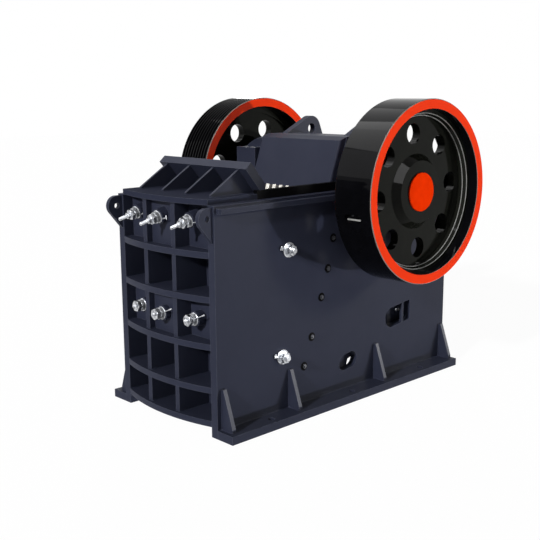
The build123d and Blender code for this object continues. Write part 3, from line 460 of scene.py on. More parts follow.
@dataclass(frozen=True)
class PlainCoat(Surface):
    """One even coat or bare skin: primer, enamel, oiled spring steel or rolled plate."""

    colour: str
    shade: str
    roughness: float = 0.5
    metallic: float = 0.0
    specular: float = 0.5
    grain_mm: float = 30.0
    bump: float = 0.05

    def build(self) -> Material:
        """Make the material.

        Returns:
            An even coat with slight changes of shade and a fine texture.
        """
        material, tree, position = self.start()
        rough = (self.roughness - 0.06, self.roughness + 0.08)
        shades = (self.colour, self.shade)
        colour, sheen, grain = self.mottle(tree, position, self.grain_mm, 4.0, shades, (0.35, 0.65), rough)
        settings = {"Strength": self.bump, "Distance": 2.0 * MM}
        texture = add_node(tree, "ShaderNodeBump", settings, {"Height": grain})
        self.end(
            tree, {"Metallic": self.metallic, "Specular IOR Level": self.specular},
            {"Base Color": colour, "Roughness": sheen, "Normal": texture.outputs["Normal"]},
        )
        return material


class Finish(Enum):
    """Finishes of the machine, each by the maker's plain name."""

    # Sprayed alkyd enamel on rolled plate: dark slate, low sheen, pale where edges rub and where a painted
    # highlight runs along them.
    SLATE = MachineEnamel("slate_machine_enamel")
    # The same enamel pooled over weld beads: a little lighter and duller.
    WELD = MachineEnamel("slate_enamel_on_weld", body="343747", thick="2C2F3E", roughness=0.6, specular=0.03)
    # The same enamel with dry overspray on the deck: nearly matt.
    DUSTED = MachineEnamel("slate_enamel_dulled_by_overspray", roughness=0.85, specular=0.02)
    # Flowed gloss enamel on turned iron: a black mirror on the tread, flat orange on the faces, a pale band
    # of painted highlight at the corners.
    RIM = WheelEnamel("black_wheel_enamel_with_orange_faces", banded=True)
    # The same black over the cast web, a little warmer, and lighter as painted sheen for the light that the
    # web reflects.
    DISC = WheelEnamel("black_wheel_enamel_with_painted_sheen", body="171815", shade="1B1C18", roughness=0.05)
    # Pale enamel in thin lines on turned corners: painted highlight.
    CORNER = PlainCoat("pale_enamel_painted_highlight", "A6A6A4", "8C8C8A", specular=0.06)
    # Brushed orange enamel on the shaft's end caps: flat and vivid.
    ORANGE = PlainCoat(
        "orange_enamel", "FF3A05", "F83504", roughness=0.85, specular=0.0, grain_mm=60.0, bump=0.03
    )
    # Turned, zinc-plated steel: the brightest metal on the machine.
    ZINC = TurnedSteel("turned_zinc_steel")
    # Oiled disc springs: bright edges between dark gaps.
    DARK_STEEL = TurnedSteel("oiled_disc_spring_steel", bright="BCBEC1", dull="6A6B6F", roughness=0.3)
    # Oiled coil spring wire: dark grey metal.
    SPRING = PlainCoat(
        "oiled_spring_steel", "4A4B4D", "2C2D2F", roughness=0.35, metallic=1.0, grain_mm=12.0, bump=0.1
    )
    # Black primer on the wear plates: no shine at all.
    LINER = PlainCoat("black_primed_wear_plate", "0C0C0F", "070708", specular=0.02, bump=0.15)
    # Cast manganese steel: rough dark skin with bright tooth tips.
    FIXED_JAW = CastManganese("cast_manganese_fixed_jaw")
    MOVING_JAW = CastManganese(
        "cast_manganese_moving_jaw", face_distance=722.0, lean_degrees=19.86, towards_rear=False
    )
    # Bare rolled plate with mill scale: mid grey metal.
    PLATE = PlainCoat(
        "rolled_steel_plate", "55565A", "3A3B3F", roughness=0.45, metallic=1.0, grain_mm=18.0, bump=0.12
    )

    def material(self) -> Material:
        """The finish's material, made at its first use."""
        return bpy.data.materials.get(self.value.name) or self.value.build()


# Mesh helpers


def ring_mesh(rings: list[list[Vector]], closed: bool = False) -> BMesh:
    """Skin a list of vertex rings, and cap the ends unless the list closes on itself.

    Args:
        rings: Rings with equal numbers of points.
        closed: Whether the last ring joins the first, as on a washer.

    Returns:
        The shape as a bmesh with its faces pointing out.
    """
    shape = bmesh.new()
    rows = [[shape.verts.new(point) for point in ring] for ring in rings]
    pairs = list(zip(rows, rows[1:] + rows[:1])) if closed else list(zip(rows, rows[1:]))
    for low, high in pairs:
        for i in range(len(low)):
            j = (i + 1) % len(low)
            shape.faces.new((low[i], low[j], high[j], high[i]))
    if not closed:
        shape.faces.new(list(reversed(rows[0])))
        shape.faces.new(rows[-1])
    bmesh.ops.recalc_face_normals(shape, faces=shape.faces)
    return shape


def turned(profile: Profile, sides: int = 32, closed: bool = False) -> BMesh:
    """Turn a (radius, height) profile in millimetres round Z."""
    rings = []
    for radius, height in profile:
        angles = [2 * math.pi * i / sides for i in range(sides)]
        rings.append([Vector((radius * math.cos(a), radius * math.sin(a), height)) * MM for a in angles])
    return ring_mesh(rings, closed)


def hexagon(circumradius: float, low: float, high: float, chamfer: float) -> BMesh:
    """Hexagon nut along Z whose top and bottom corners are turned off by a chamfer."""
    sides = 36
    slope = chamfer * 0.5
    rings = []
    for height, cut in ((low, chamfer), (low + slope, 0.0), (high - slope, 0.0), (high, chamfer)):
        ring = []
        for i in range(sides):
            angle = 2 * math.pi * i / sides
            flat = circumradius * math.cos(math.pi / 6) / math.cos((angle % (math.pi / 3)) - math.pi / 6)
            radius = min(flat, circumradius - cut)
            ring.append(Vector((radius * math.cos(angle), radius * math.sin(angle), height)) * MM)
        rings.append(ring)
    return ring_mesh(rings)


def joined(*shapes: BMesh) -> BMesh:
    """Put several shapes into one bmesh and free them."""
    whole = bmesh.new()
    for shape in shapes:
        mesh = bpy.data.meshes.new("joining")
        shape.to_mesh(mesh)
        shape.free()
        whole.from_mesh(mesh)
        bpy.data.meshes.remove(mesh)
    return whole


def moved(shape: BMesh, matrix: Matrix) -> BMesh:
    """Move a shape by a matrix in place and return it."""
    shape.transform(matrix)
    return shape


def bar(start: Vector, end: Vector, radius_mm: float) -> BMesh:
    """Round bar between two points in metres, its ends slightly turned off."""
    length = (end - start).length / MM
    soft = min(radius_mm * 0.3, length * 0.2)
    tip = radius_mm - soft
    profile = [(tip, 0.0), (radius_mm, soft), (radius_mm, length - soft), (tip, length)]
    turn = (end - start).to_track_quat("Z", "Y").to_matrix().to_4x4()
    return moved(turned(profile, BAR_SIDES), Matrix.Translation(start) @ turn)


def rods(at: Vector, rows: tuple[Rod, ...], side: float = 1.0) -> list[BMesh]:
    """Round rods beside a place.

    Args:
        at: The place in metres.
        rows: Each rod's start and end from the place, and its radius, in millimetres.
        side: 1 as given, or -1 turned over to the other side of the machine.

    Returns:
        One shape for each rod.
    """
    scale = Vector((side, 1.0, 1.0)) * MM
    ends = [(at + Vector(start) * scale, at + Vector(end) * scale, radius) for start, end, radius in rows]
    return [bar(*row) for row in ends]


def shade(mesh: Mesh, crisp: bool) -> None:
    """Shade a mesh smooth, and if crisp keep its sharp edges."""
    for polygon in mesh.polygons:
        polygon.use_smooth = True
    if crisp:
        mesh.set_sharp_from_angle(angle=math.radians(CRISP_ANGLE))


def finish_mesh(name: str, shape: BMesh, finish: Finish) -> Object:
    """Turn a bmesh into a shaded object at the origin.

    Args:
        name: Name of the object.
        shape: The shape, which is freed.
        finish: Its finish.

    Returns:
        The object, linked to the scene.
    """
    mesh = bpy.data.meshes.new(name)
    shape.to_mesh(mesh)
    shape.free()
    shade(mesh, True)
    mesh.materials.append(finish.material())
    return linked(name, mesh)


# Geometry Nodes: what repeats, and what follows a seam


def open_tree(name: str, inputs: tuple[tuple[str, str], ...]) -> tuple[NodeTree, Node]:
    """Start a Geometry Nodes tree with named inputs and one geometry output."""
    tree = bpy.data.node_groups.new(name, "GeometryNodeTree")
    tree.interface.new_socket("Geometry", in_out="INPUT", socket_type="NodeSocketGeometry")
    for label, kind in inputs:
        tree.interface.new_socket(label, in_out="INPUT", socket_type=kind)
    tree.interface.new_socket("Geometry", in_out="OUTPUT", socket_type="NodeSocketGeometry")
    return tree, add_node(tree, "NodeGroupInput")


def close_tree(tree: NodeTree, source: NodeSocket, finish: NodeSocket) -> None:
    """End a tree in Realize Instances, Set Material and its output."""
    real = add_node(tree, "GeometryNodeRealizeInstances", links={"Geometry": source})
    dressed = add_node(
        tree, "GeometryNodeSetMaterial", links={"Geometry": real.outputs["Geometry"], "Material": finish}
    )
    add_node(tree, "NodeGroupOutput", links={"Geometry": dressed.outputs["Geometry"]})


def fastener_tree() -> NodeTree:
    """Tree that sets one fastener on every point of a mesh, along the point's facing.

    Returns:
        The tree, made once.
    """
    name = "fasteners_on_spots"
    if name in bpy.data.node_groups:
        return bpy.data.node_groups[name]
    inputs = (
        ("Fastener", "NodeSocketObject"),
        ("Finish", "NodeSocketMaterial"),
        ("Turn Step", "NodeSocketFloat"),
    )
    tree, start = open_tree(name, inputs)
    pattern = add_node(tree, "GeometryNodeObjectInfo", links={"Object": start.outputs["Fastener"]})
    facing = add_node(
        tree, "GeometryNodeInputNamedAttribute", {"data_type": "FLOAT_VECTOR", "Name": "facing"}
    )
    aimed = add_node(
        tree, "FunctionNodeAlignRotationToVector", {"axis": "Z"}, {"Vector": facing.outputs["Attribute"]}
    )
    index = add_node(tree, "GeometryNodeInputIndex")
    turn = add_node(
        tree, "ShaderNodeMath", {"operation": "MULTIPLY"},
        {0: index.outputs["Index"], 1: start.outputs["Turn Step"]},
    )
    spin = add_node(
        tree, "FunctionNodeAxisAngleToRotation", {"Axis": (0.0, 0.0, 1.0)}, {"Angle": turn.outputs["Value"]}
    )
    rotation = add_node(
        tree, "FunctionNodeRotateRotation", {"rotation_space": "LOCAL"},
        {"Rotation": aimed.outputs["Rotation"], "Rotate By": spin.outputs["Rotation"]},
    )
    copies = add_node(
        tree, "GeometryNodeInstanceOnPoints",
        links={
            "Points": start.outputs["Geometry"], "Instance": pattern.outputs["Geometry"],
            "Rotation": rotation.outputs["Rotation"],
        },
    )
    close_tree(tree, copies.outputs["Instances"], start.outputs["Finish"])
    return tree


def weld_tree() -> NodeTree:
    """Tree that runs a rippled weld bead along every edge of a mesh.

    Returns:
        The tree.
    """
    inputs = (
        ("Radius", "NodeSocketFloat"),
        ("Ripple", "NodeSocketFloat"),
        ("Finish", "NodeSocketMaterial"),
    )
    tree, start = open_tree("weld_bead_on_seams", inputs)
    seams = add_node(tree, "GeometryNodeMeshToCurve", links={"Mesh": start.outputs["Geometry"]})
    steps = add_node(
        tree, "GeometryNodeResampleCurve", {"mode": "LENGTH"},
        {"Curve": seams.outputs["Curve"], "Length": start.outputs["Ripple"]},
    )
    index = add_node(tree, "GeometryNodeInputIndex")
    wave = add_node(tree, "ShaderNodeMath", {"operation": "MULTIPLY", 1: 2.2}, {0: index.outputs["Index"]})
    sine = add_node(tree, "ShaderNodeMath", {"operation": "SINE"}, {0: wave.outputs["Value"]})
    swell = add_node(
        tree, "ShaderNodeMath", {"operation": "MULTIPLY_ADD", 1: 0.16, 2: 1.0}, {0: sine.outputs["Value"]}
    )
    thick = add_node(
        tree, "GeometryNodeSetCurveRadius",
        links={"Curve": steps.outputs["Curve"], "Radius": swell.outputs["Value"]},
    )
    section = add_node(
        tree, "GeometryNodeCurvePrimitiveCircle", {"Resolution": 7}, {"Radius": start.outputs["Radius"]}
    )
    bead = add_node(
        tree, "GeometryNodeCurveToMesh", {"Fill Caps": True},
        {"Curve": thick.outputs["Curve"], "Profile Curve": section.outputs["Curve"]},
    )
    close_tree(tree, bead.outputs["Mesh"], start.outputs["Finish"])
    return tree


def run_tree(name: str, mesh: Mesh, tree: NodeTree, values: dict, crisp: bool) -> Object:
    """Run a tree on a mesh and keep the result as a plain mesh object.

    Args:
        name: Name of the object.
        mesh: Points or edges that the tree works on.
        tree: The Geometry Nodes tree.
        values: Input name to value.
        crisp: Whether sharp edges stay crisp, or else all is smooth.

    Returns:
        The object with no modifier left on it.
    """
    piece = linked(name, mesh)
    modifier = piece.modifiers.new("nodes", "NODES")
    modifier.node_group = tree
    for item in tree.interface.items_tree:
        if item.in_out == "INPUT" and item.name in values:
            modifier[item.identifier] = values[item.name]
    evaluated = piece.evaluated_get(bpy.context.evaluated_depsgraph_get())
    result = bpy.data.meshes.new_from_object(evaluated)
    piece.modifiers.clear()
    piece.data = result
    result.name = name
    shade(result, crisp)
    return piece


@dataclass(frozen=True)
class Spot:
    """A place for a fastener, and the way it points."""

    at: Vector
    facing: Vector


def settle(piece: Object, body: str, count: int) -> None:
    """Let a finished piece ride on a body, and log it."""
    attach(piece, body)
    log.info("%s: %d on %s", piece.name, count, body)


def fasten(name: str, pattern: BMesh, spots: list[Spot], finish: Finish, body: str) -> Object:
    """Set one fastener on every spot and let the result ride on a body.

    Args:
        name: Name of the piece.
        pattern: The fastener along Z from its seat, which is freed.
        spots: Where the fasteners go.
        finish: Their finish.
        body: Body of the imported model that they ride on.

    Returns:
        The finished piece.
    """
    template = finish_mesh(f"{name}_pattern", pattern, finish)
    mesh = bpy.data.meshes.new(f"{name}_spots")
    mesh.from_pydata([spot.at for spot in spots], [], [])
    facing = mesh.attributes.new("facing", "FLOAT_VECTOR", "POINT")
    facing.data.foreach_set("vector", [value for spot in spots for value in spot.facing])
    # Each is turned 0.4 radians further than the one before, as bolts end up when they are tightened.
    values = {"Fastener": template, "Finish": finish.material(), "Turn Step": 0.4}
    piece = run_tree(name, mesh, fastener_tree(), values, True)
    bpy.data.objects.remove(template)
    settle(piece, body, len(spots))
    return piece


def mirrored(spots: list[Spot]) -> list[Spot]:
    """The spots and their images on the other side of the machine."""
    flip = Vector((-1.0, 1.0, 1.0))
    return spots + [Spot(spot.at * flip, spot.facing * flip) for spot in spots]


# Sub-assemblies


@dataclass
class PaintedNodes:
    """Carried-over nodes and the finish that each one wears."""

    nodes: dict[str, Object]
    groups: tuple[tuple[Finish, tuple[str, ...]], ...] = (
        (Finish.RIM, ("flywheel_rim", "pulley_rim")),
        (Finish.DISC, ("flywheel_disc", "pulley_disc")),
        (Finish.ORANGE, ("shaft_end_caps",)),
        (Finish.ZINC, ("eccentric_shaft", "tension_rods", "spring_seats")),
        (Finish.ZINC, ("jaw_bolts_upper", "jaw_bolts_lower")),
        (Finish.SPRING, ("tension_springs",)),
        (Finish.LINER, ("cheek_plate_right", "cheek_plate_left")),
        (Finish.FIXED_JAW, ("fixed_jaw_plate",)),
        (Finish.MOVING_JAW, ("moving_jaw_plate",)),
        (Finish.PLATE, ("toggle_plate", "toggle_shims")),
        (Finish.DUSTED, ("top_front_plate",)),
    )

    def finish_of(self, name: str) -> Finish:
        """The finish of one node: slate enamel unless a group names it."""
        return next((finish for finish, names in self.groups if name in names), Finish.SLATE)

    def dress(self) -> None:
        """Give every node its material."""
        for name, node in self.nodes.items():
            finish = self.finish_of(name)
            node.data.materials.clear()
            node.data.materials.append(finish.material())
            log.info("%s wears %s", name, finish.value.name)


@dataclass
class JawBolts:
    """The two rows of spring-loaded bolts that hold the fixed jaw."""

    column: float = 312.0
    upper_height: float = 1560.0
    lower_height: float = 840.5
    upper_seats: Triple = (-12.0, -47.0, -12.0)
    lower_seats: Triple = (17.0, -37.0, 17.0)
    upper_tilt: float = 14.0
    shank: Profile = ((30.0, -180.0), (30.0, 0.0))
    upper_washer: Profile = ((45.0, 0.0), (48.0, 3.0), (48.0, 8.0), (45.0, 10.0))
    lower_washer: Profile = ((46.0, 0.0), (49.0, 3.0), (49.0, 8.0), (46.0, 10.0))
    upper_nut: Nut = (41.0, 36.0, 68.0, 4.0)
    upper_neck: Profile = ((26.0, 68.0), (26.0, 72.0))
    upper_lock_nut: Nut = (25.0, 72.0, 94.0, 3.0)
    upper_thread: Thread = (13.5, 94.0, 165.0, 5.0)
    lower_nut: Nut = (44.0, 38.0, 72.0, 4.0)
    lower_thread: Thread = (12.0, 72.0, 95.0, 4.0)
    upper_springs: Stack = (43.0, 9.0, 37.0, 5)
    lower_springs: Stack = (43.0, 9.0, 39.0, 5)
    upper_pin: tuple[Rod, ...] = (
        ((60.0, -6.0, -10.0), (112.0, -6.0, 4.0), 5.0),
        ((100.0, -6.0, 18.0), (108.0, -6.0, -12.0), 4.0),
    )
    lower_first_pin: tuple[Rod, ...] = (((50.0, -6.0, 6.0), (92.0, -6.0, 18.0), 5.0),)
    lower_pin: tuple[Rod, ...] = (
        ((34.0, -20.0, 12.0), (122.0, -4.0, 52.0), 4.0),
        ((95.6, -8.8, 40.0), (122.0, -4.0, 52.0), 7.0),
    )

    def spots(self, seats: Triple, height: float, tilt: float) -> list[Spot]:
        """Seats of one row of bolts, pointing out along the bolts."""
        out = Vector((0.0, -math.cos(math.radians(tilt)), -math.sin(math.radians(tilt))))
        columns = (-self.column, 0.0, self.column)
        return [Spot(place(x, seat, height), out) for x, seat in zip(columns, seats)]

    def disc_springs(self, radius: float, low: float, high: float, count: int) -> BMesh:
        """Stack of disc springs between two heights, each with a rounded edge."""
        gap = 5.0
        profile = []
        step = (high - low) / count
        for i in range(count):
            base = low + i * step
            profile += [(radius - gap, base), (radius, base + step * 0.35), (radius, base + step * 0.65)]
            profile.append((radius - gap, base + step))
        return turned(profile, 40)

    def threaded(self, radius: float, low: float, high: float, pitch: float) -> BMesh:
        """Threaded rod end with a turned-off tip."""
        tip = 3.0
        profile = [(radius - 1.5, low)]
        height = low
        while height + pitch < high - tip:
            profile += [(radius, height + pitch * 0.5), (radius - 1.6, height + pitch)]
            height += pitch
        profile += [(radius - 0.5, high - tip), (radius - 3.5, high)]
        return turned(profile, 24)

    def build(self) -> None:
        """Make both rows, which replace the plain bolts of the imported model."""
        upper = self.spots(self.upper_seats, self.upper_height, self.upper_tilt)
        lower = self.spots(self.lower_seats, self.lower_height, 0.0)
        upper_bolt = joined(
            turned(self.shank + self.upper_washer, 40),
            hexagon(*self.upper_nut),
            turned(self.upper_neck, 32),
            hexagon(*self.upper_lock_nut),
            self.threaded(*self.upper_thread),
        )
        piece = fasten("jaw_bolts_upper_turned", upper_bolt, upper, Finish.ZINC, "frame")
        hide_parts("jaw_bolts_upper")
        lower_bolt = joined(
            turned(self.shank + self.lower_washer, 40),
            hexagon(*self.lower_nut),
            self.threaded(*self.lower_thread),
        )
        piece = fasten("jaw_bolts_lower_turned", lower_bolt, lower, Finish.ZINC, "frame")
        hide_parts("jaw_bolts_lower")
        springs = self.disc_springs(*self.upper_springs)
        fasten("disc_springs_upper", springs, upper, Finish.DARK_STEEL, "frame")
        springs = self.disc_springs(*self.lower_springs)
        fasten("disc_springs_lower", springs, lower, Finish.DARK_STEEL, "frame")
        self.pins(upper, lower)

    def pins(self, upper: list[Spot], lower: list[Spot]) -> None:
        """Make the locking pins beside the bolts."""
        shapes = []
        for spot in upper:
            shapes += rods(spot.at, self.upper_pin)
        for spot in lower[1:]:
            shapes += rods(spot.at, self.lower_pin)
        shapes += rods(lower[0].at, self.lower_first_pin)
        piece = finish_mesh("jaw_bolt_locking_pins", joined(*shapes), Finish.ZINC)
        settle(piece, "frame", len(upper) + len(lower))


@dataclass
class SidePlateFasteners:
    """Tie bolts and liner bolts on both side plates."""

    tie_bolts: Profile = ((714.0, 1290.0), (647.0, 478.0))
    tie_washers: Profile = ((57.0, 0.0), (58.0, 2.0), (58.0, 9.0), (55.0, 12.0), (44.0, 12.0), (44.0, 16.0))
    tie_nut: Nut = (43.0, 16.0, 50.0, 4.0)
    tie_end: Profile = ((22.0, 50.0), (22.0, 69.0), (18.0, 73.0))
    keeper: tuple[Rod, ...] = (
        ((10.0, -56.0, 14.0), (10.0, -92.0, 24.0), 5.0),
        ((10.0, -76.0, 4.0), (10.0, -68.0, 36.0), 4.0),
        ((10.0, -88.0, 8.0), (10.0, -80.0, 38.0), 4.0),
    )
    liner_bolts: Profile = (
        (1202.0, 1323.0), (1145.0, 1088.0), (1072.0, 871.0), (965.0, 573.0), (881.0, 353.0),
    )
    # A flat black ring 1.4 mm proud of the plate round each liner bolt: painted shade that stands for a
    # counterbore.
    painted_recess_shade: Profile = ((33.0, 0.0), (35.0, 0.8), (35.0, 1.4), (30.0, 1.4))
    liner_nut: Nut = (19.0, 0.5, 11.0, 2.0)
    liner_end: Profile = ((9.0, 11.0), (9.0, 18.0), (7.0, 20.0))

    def spots(self, places: Profile) -> list[Spot]:
        """Spots on both plates, pointing out, from distances and heights."""
        right = [Spot(place(PLATE_FACE, d, z), Vector((1.0, 0.0, 0.0))) for d, z in places]
        return mirrored(right)

    def build(self) -> None:
        """Make the tie bolts with their keepers, and the liner bolts on black rings of painted shade that
        stand for counterbores.
        """
        ties = self.spots(self.tie_bolts)
        tie = joined(turned(self.tie_washers, 44), hexagon(*self.tie_nut), turned(self.tie_end, 32))
        fasten("tie_bolts", tie, ties, Finish.ZINC, "frame")
        liners = self.spots(self.liner_bolts)
        # Black rings of painted shade in the place of counterbores.
        shade_ring = turned(self.painted_recess_shade, 32)
        fasten("liner_bolt_counterbores", shade_ring, liners, Finish.LINER, "frame")
        stud = joined(hexagon(*self.liner_nut), turned(self.liner_end, 20))
        fasten("liner_bolts", stud, liners, Finish.PLATE, "frame")
        shapes = [shape for spot in ties for shape in rods(spot.at, self.keeper, spot.facing.x)]
        piece = finish_mesh("tie_bolt_keepers", joined(*shapes), Finish.ZINC)
        settle(piece, "frame", len(ties))


@dataclass
class BearingFasteners:
    """Bolts round the bearing covers."""

    count: int = 8
    circle: float = 208.0
    face: float = 775.0
    washer: Profile = ((19.0, 0.0), (19.0, 3.0))
    head: Nut = (16.0, 3.0, 14.0, 1.5)

    def build(self) -> None:
        """Make a ring of hexagon bolts on each cover."""
        spots = []
        for i in range(self.count):
            angle = 2 * math.pi * (i + 0.5) / self.count
            across = SHAFT_FROM_FRONT + self.circle * math.cos(angle)
            height = SHAFT_HEIGHT + self.circle * math.sin(angle)
            spots.append(Spot(place(self.face, across, height), Vector((1.0, 0.0, 0.0))))
        bolt = joined(turned(self.washer, 24), hexagon(*self.head))
        fasten("bearing_cover_bolts", bolt, mirrored(spots), Finish.ZINC, "frame")


@dataclass
class WheelLips:
    """Turned lip where each wheel's web meets its rim, with pale beads of painted highlight on its corners
    and a pale rod of painted highlight in the bar slot.
    """

    profile: Profile = ((577.0, 974.0), (585.0, 989.0), (602.0, 1019.0), (640.0, 1019.0), (640.0, 974.0))
    # Corners that get a pale bead of painted highlight.
    corners: Profile = ((585.0, 989.0), (602.0, 1019.0))
    corner_half: float = 3.5
    corner_sides: int = 6
    sides: int = 128
    slot_angle: float = 192.9
    slot_radius: float = 701.0
    slot_ends: Pair = (868.0, 993.0)
    slot_edge_radius: float = 7.0

    def on_shaft(self, profile: Profile, side: float) -> BMesh:
        """Turn a closed profile round the shaft's axis, to the right or to the left."""
        turn = Matrix.Rotation(math.radians(90.0 * side), 4, "Y")
        shape = turned(profile, self.sides, closed=True)
        return moved(shape, Matrix.Translation(place(0.0, SHAFT_FROM_FRONT, SHAFT_HEIGHT)) @ turn)

    def corner(self, radius: float, x: float) -> Profile:
        """Small round section on one of the lip's corners."""
        angles = [2 * math.pi * i / self.corner_sides for i in range(self.corner_sides)]
        half = self.corner_half
        return [(radius + half * math.cos(angle), x + half * math.sin(angle)) for angle in angles]

    def build(self) -> None:
        """Make the lips in both wheels with the painted highlights on their corners, and the painted
        highlight on the bar slot's edge.
        """
        lips, beads = [], []
        for side in (1.0, -1.0):
            lips.append(self.on_shaft(self.profile, side))
            beads += [self.on_shaft(self.corner(radius, x), side) for radius, x in self.corners]
        for name, shapes, finish in (
            ("wheel_lips", lips, Finish.DISC), ("wheel_lip_corners", beads, Finish.CORNER),
        ):
            piece = finish_mesh(name, joined(*shapes), finish)
            settle(piece, "rotor", len(shapes))
        # A pale rod on the bar slot's lower lip: painted highlight.
        way = math.radians(self.slot_angle)
        across = SHAFT_FROM_FRONT + self.slot_radius * math.cos(way)
        height = SHAFT_HEIGHT + self.slot_radius * math.sin(way)
        start, end = (place(x, across, height) for x in self.slot_ends)
        piece = finish_mesh("bar_slot_worn_edge", bar(start, end, self.slot_edge_radius), Finish.CORNER)
        settle(piece, "rotor", 1)


@dataclass
class WindowDepths:
    """What shows inside the openings low on both side plates."""

    guard: Profile = (
        (1250.0, 195.0), (1447.0, 195.0), (1449.0, 222.0), (1459.0, 248.0), (1467.0, 273.0),
        (1500.0, 281.0), (1534.0, 290.0), (1534.0, 372.0), (1250.0, 372.0),
    )
    guard_between: Pair = (488.0, 500.0)
    post: Profile = ((2088.0, 470.0), (2112.0, 470.0), (2112.0, 662.0), (2088.0, 662.0))
    post_between: Pair = (547.0, 567.0)
    wedge: Profile = ((2022.0, 440.0), (2195.0, 440.0), (2195.0, 580.0), (2075.0, 580.0), (2022.0, 560.0))
    wedge_between: Pair = (430.0, 450.0)
    wedge_bolts: Profile = ((2146.0, 559.0), (2182.0, 561.0))
    wedge_bolt: Nut = (13.0, 0.0, 16.0, 2.0)

    def plate(self, outline: Profile, between: Pair, side: float) -> BMesh:
        """Plate across the machine between two distances from its middle."""
        return ring_mesh([[place(x * side, d, z) for d, z in outline] for x in between])

    def build(self) -> None:
        """Make the guard plates, window posts, adjusting wedges and the wedges' bolts."""
        shapes = []
        for side in (1.0, -1.0):
            shapes.append(self.plate(self.guard, self.guard_between, side))
            shapes.append(self.plate(self.post, self.post_between, side))
            shapes.append(self.plate(self.wedge, self.wedge_between, side))
        piece = finish_mesh("window_depths", joined(*shapes), Finish.SLATE)
        settle(piece, "frame", len(shapes))
        out = self.wedge_between[1]
        spots = mirrored([Spot(place(out, d, z), Vector((1.0, 0.0, 0.0))) for d, z in self.wedge_bolts])
        fasten("wedge_bolts", hexagon(*self.wedge_bolt), spots, Finish.ZINC, "frame")


@dataclass
class Welds:
    """Fillet welds along the seams of the frame."""

    radius: float = 6.0
    ripple: float = 9.0
    foot_top: float = 63.0
    foot_reach: Pair = (4.0, 2682.0)
    gussets: tuple[float, ...] = (57.0, 729.0, 1737.0, 2648.0)
    gusset_half: float = 16.0
    gusset_rise: Pair = (66.0, 362.0)
    gusset_reach: Pair = (4.0, 112.0)
    rib_tops: tuple[float, ...] = (1352.0, 1035.0, 691.0, 372.0, 121.0)
    rib_depth: float = 45.0
    rib_reach: Pair = (6.0, 80.0)
    webs: Pair = (-168.0, 168.0)
    web_half: float = 22.0
    web_reach: Pair = (-42.0, 0.0)
    deck_top: float = 1720.0
    fins: tuple[float, ...] = (-412.5, -137.5, 137.5, 412.5)
    fin_half: float = 10.0
    fin_reach: Pair = (104.0, 372.0)
    hopper_distance: float = 379.0
    hopper_half: float = 500.0

    def side_seams(self, side: float) -> list[Seam]:
        """Seams of one side plate with its foot, gussets and front ribs."""
        face, inner = PLATE_FACE * side, PLATE_INNER * side
        lines = [tuple(place(face, d, self.foot_top) for d in self.foot_reach)]
        for middle in self.gussets:
            for edge in (middle - self.gusset_half, middle + self.gusset_half):
                lines.append(tuple(place(face, edge, z) for z in self.gusset_rise))
                lines.append(tuple(place(face + x * side, edge, self.foot_top) for x in self.gusset_reach))
        for top in self.rib_tops:
            for z in (top, top - self.rib_depth):
                lines.append(tuple(place(inner, d, z) for d in self.rib_reach))
        return lines

    def front_seams(self) -> list[Seam]:
        """Seams of the front webs with the ribs, and of the hopper plate and fins with the deck."""
        lines = []
        for x in self.webs:
            for edge in (x - self.web_half, x + self.web_half):
                for top, low in zip(self.rib_tops[:-1], self.rib_tops[1:]):
                    for z in (top - self.rib_depth, low):
                        lines.append(tuple(place(edge, d, z) for d in self.web_reach))
        for x in self.fins:
            for edge in (x - self.fin_half, x + self.fin_half):
                lines.append(tuple(place(edge, d, self.deck_top) for d in self.fin_reach))
        ends = (-self.hopper_half, self.hopper_half)
        lines.append(tuple(place(x, self.hopper_distance, self.deck_top) for x in ends))
        return lines

    def build(self) -> None:
        """Run a bead along every seam."""
        lines = self.side_seams(-1.0) + self.side_seams(1.0) + self.front_seams()
        points = [point for line in lines for point in line]
        mesh = bpy.data.meshes.new("frame_seams")
        mesh.from_pydata(points, [(2 * i, 2 * i + 1) for i in range(len(lines))], [])
        values = {"Radius": self.radius * MM, "Ripple": self.ripple * MM, "Finish": Finish.WELD.material()}
        piece = run_tree("frame_weld_beads", mesh, weld_tree(), values, False)
        settle(piece, "frame", len(lines))


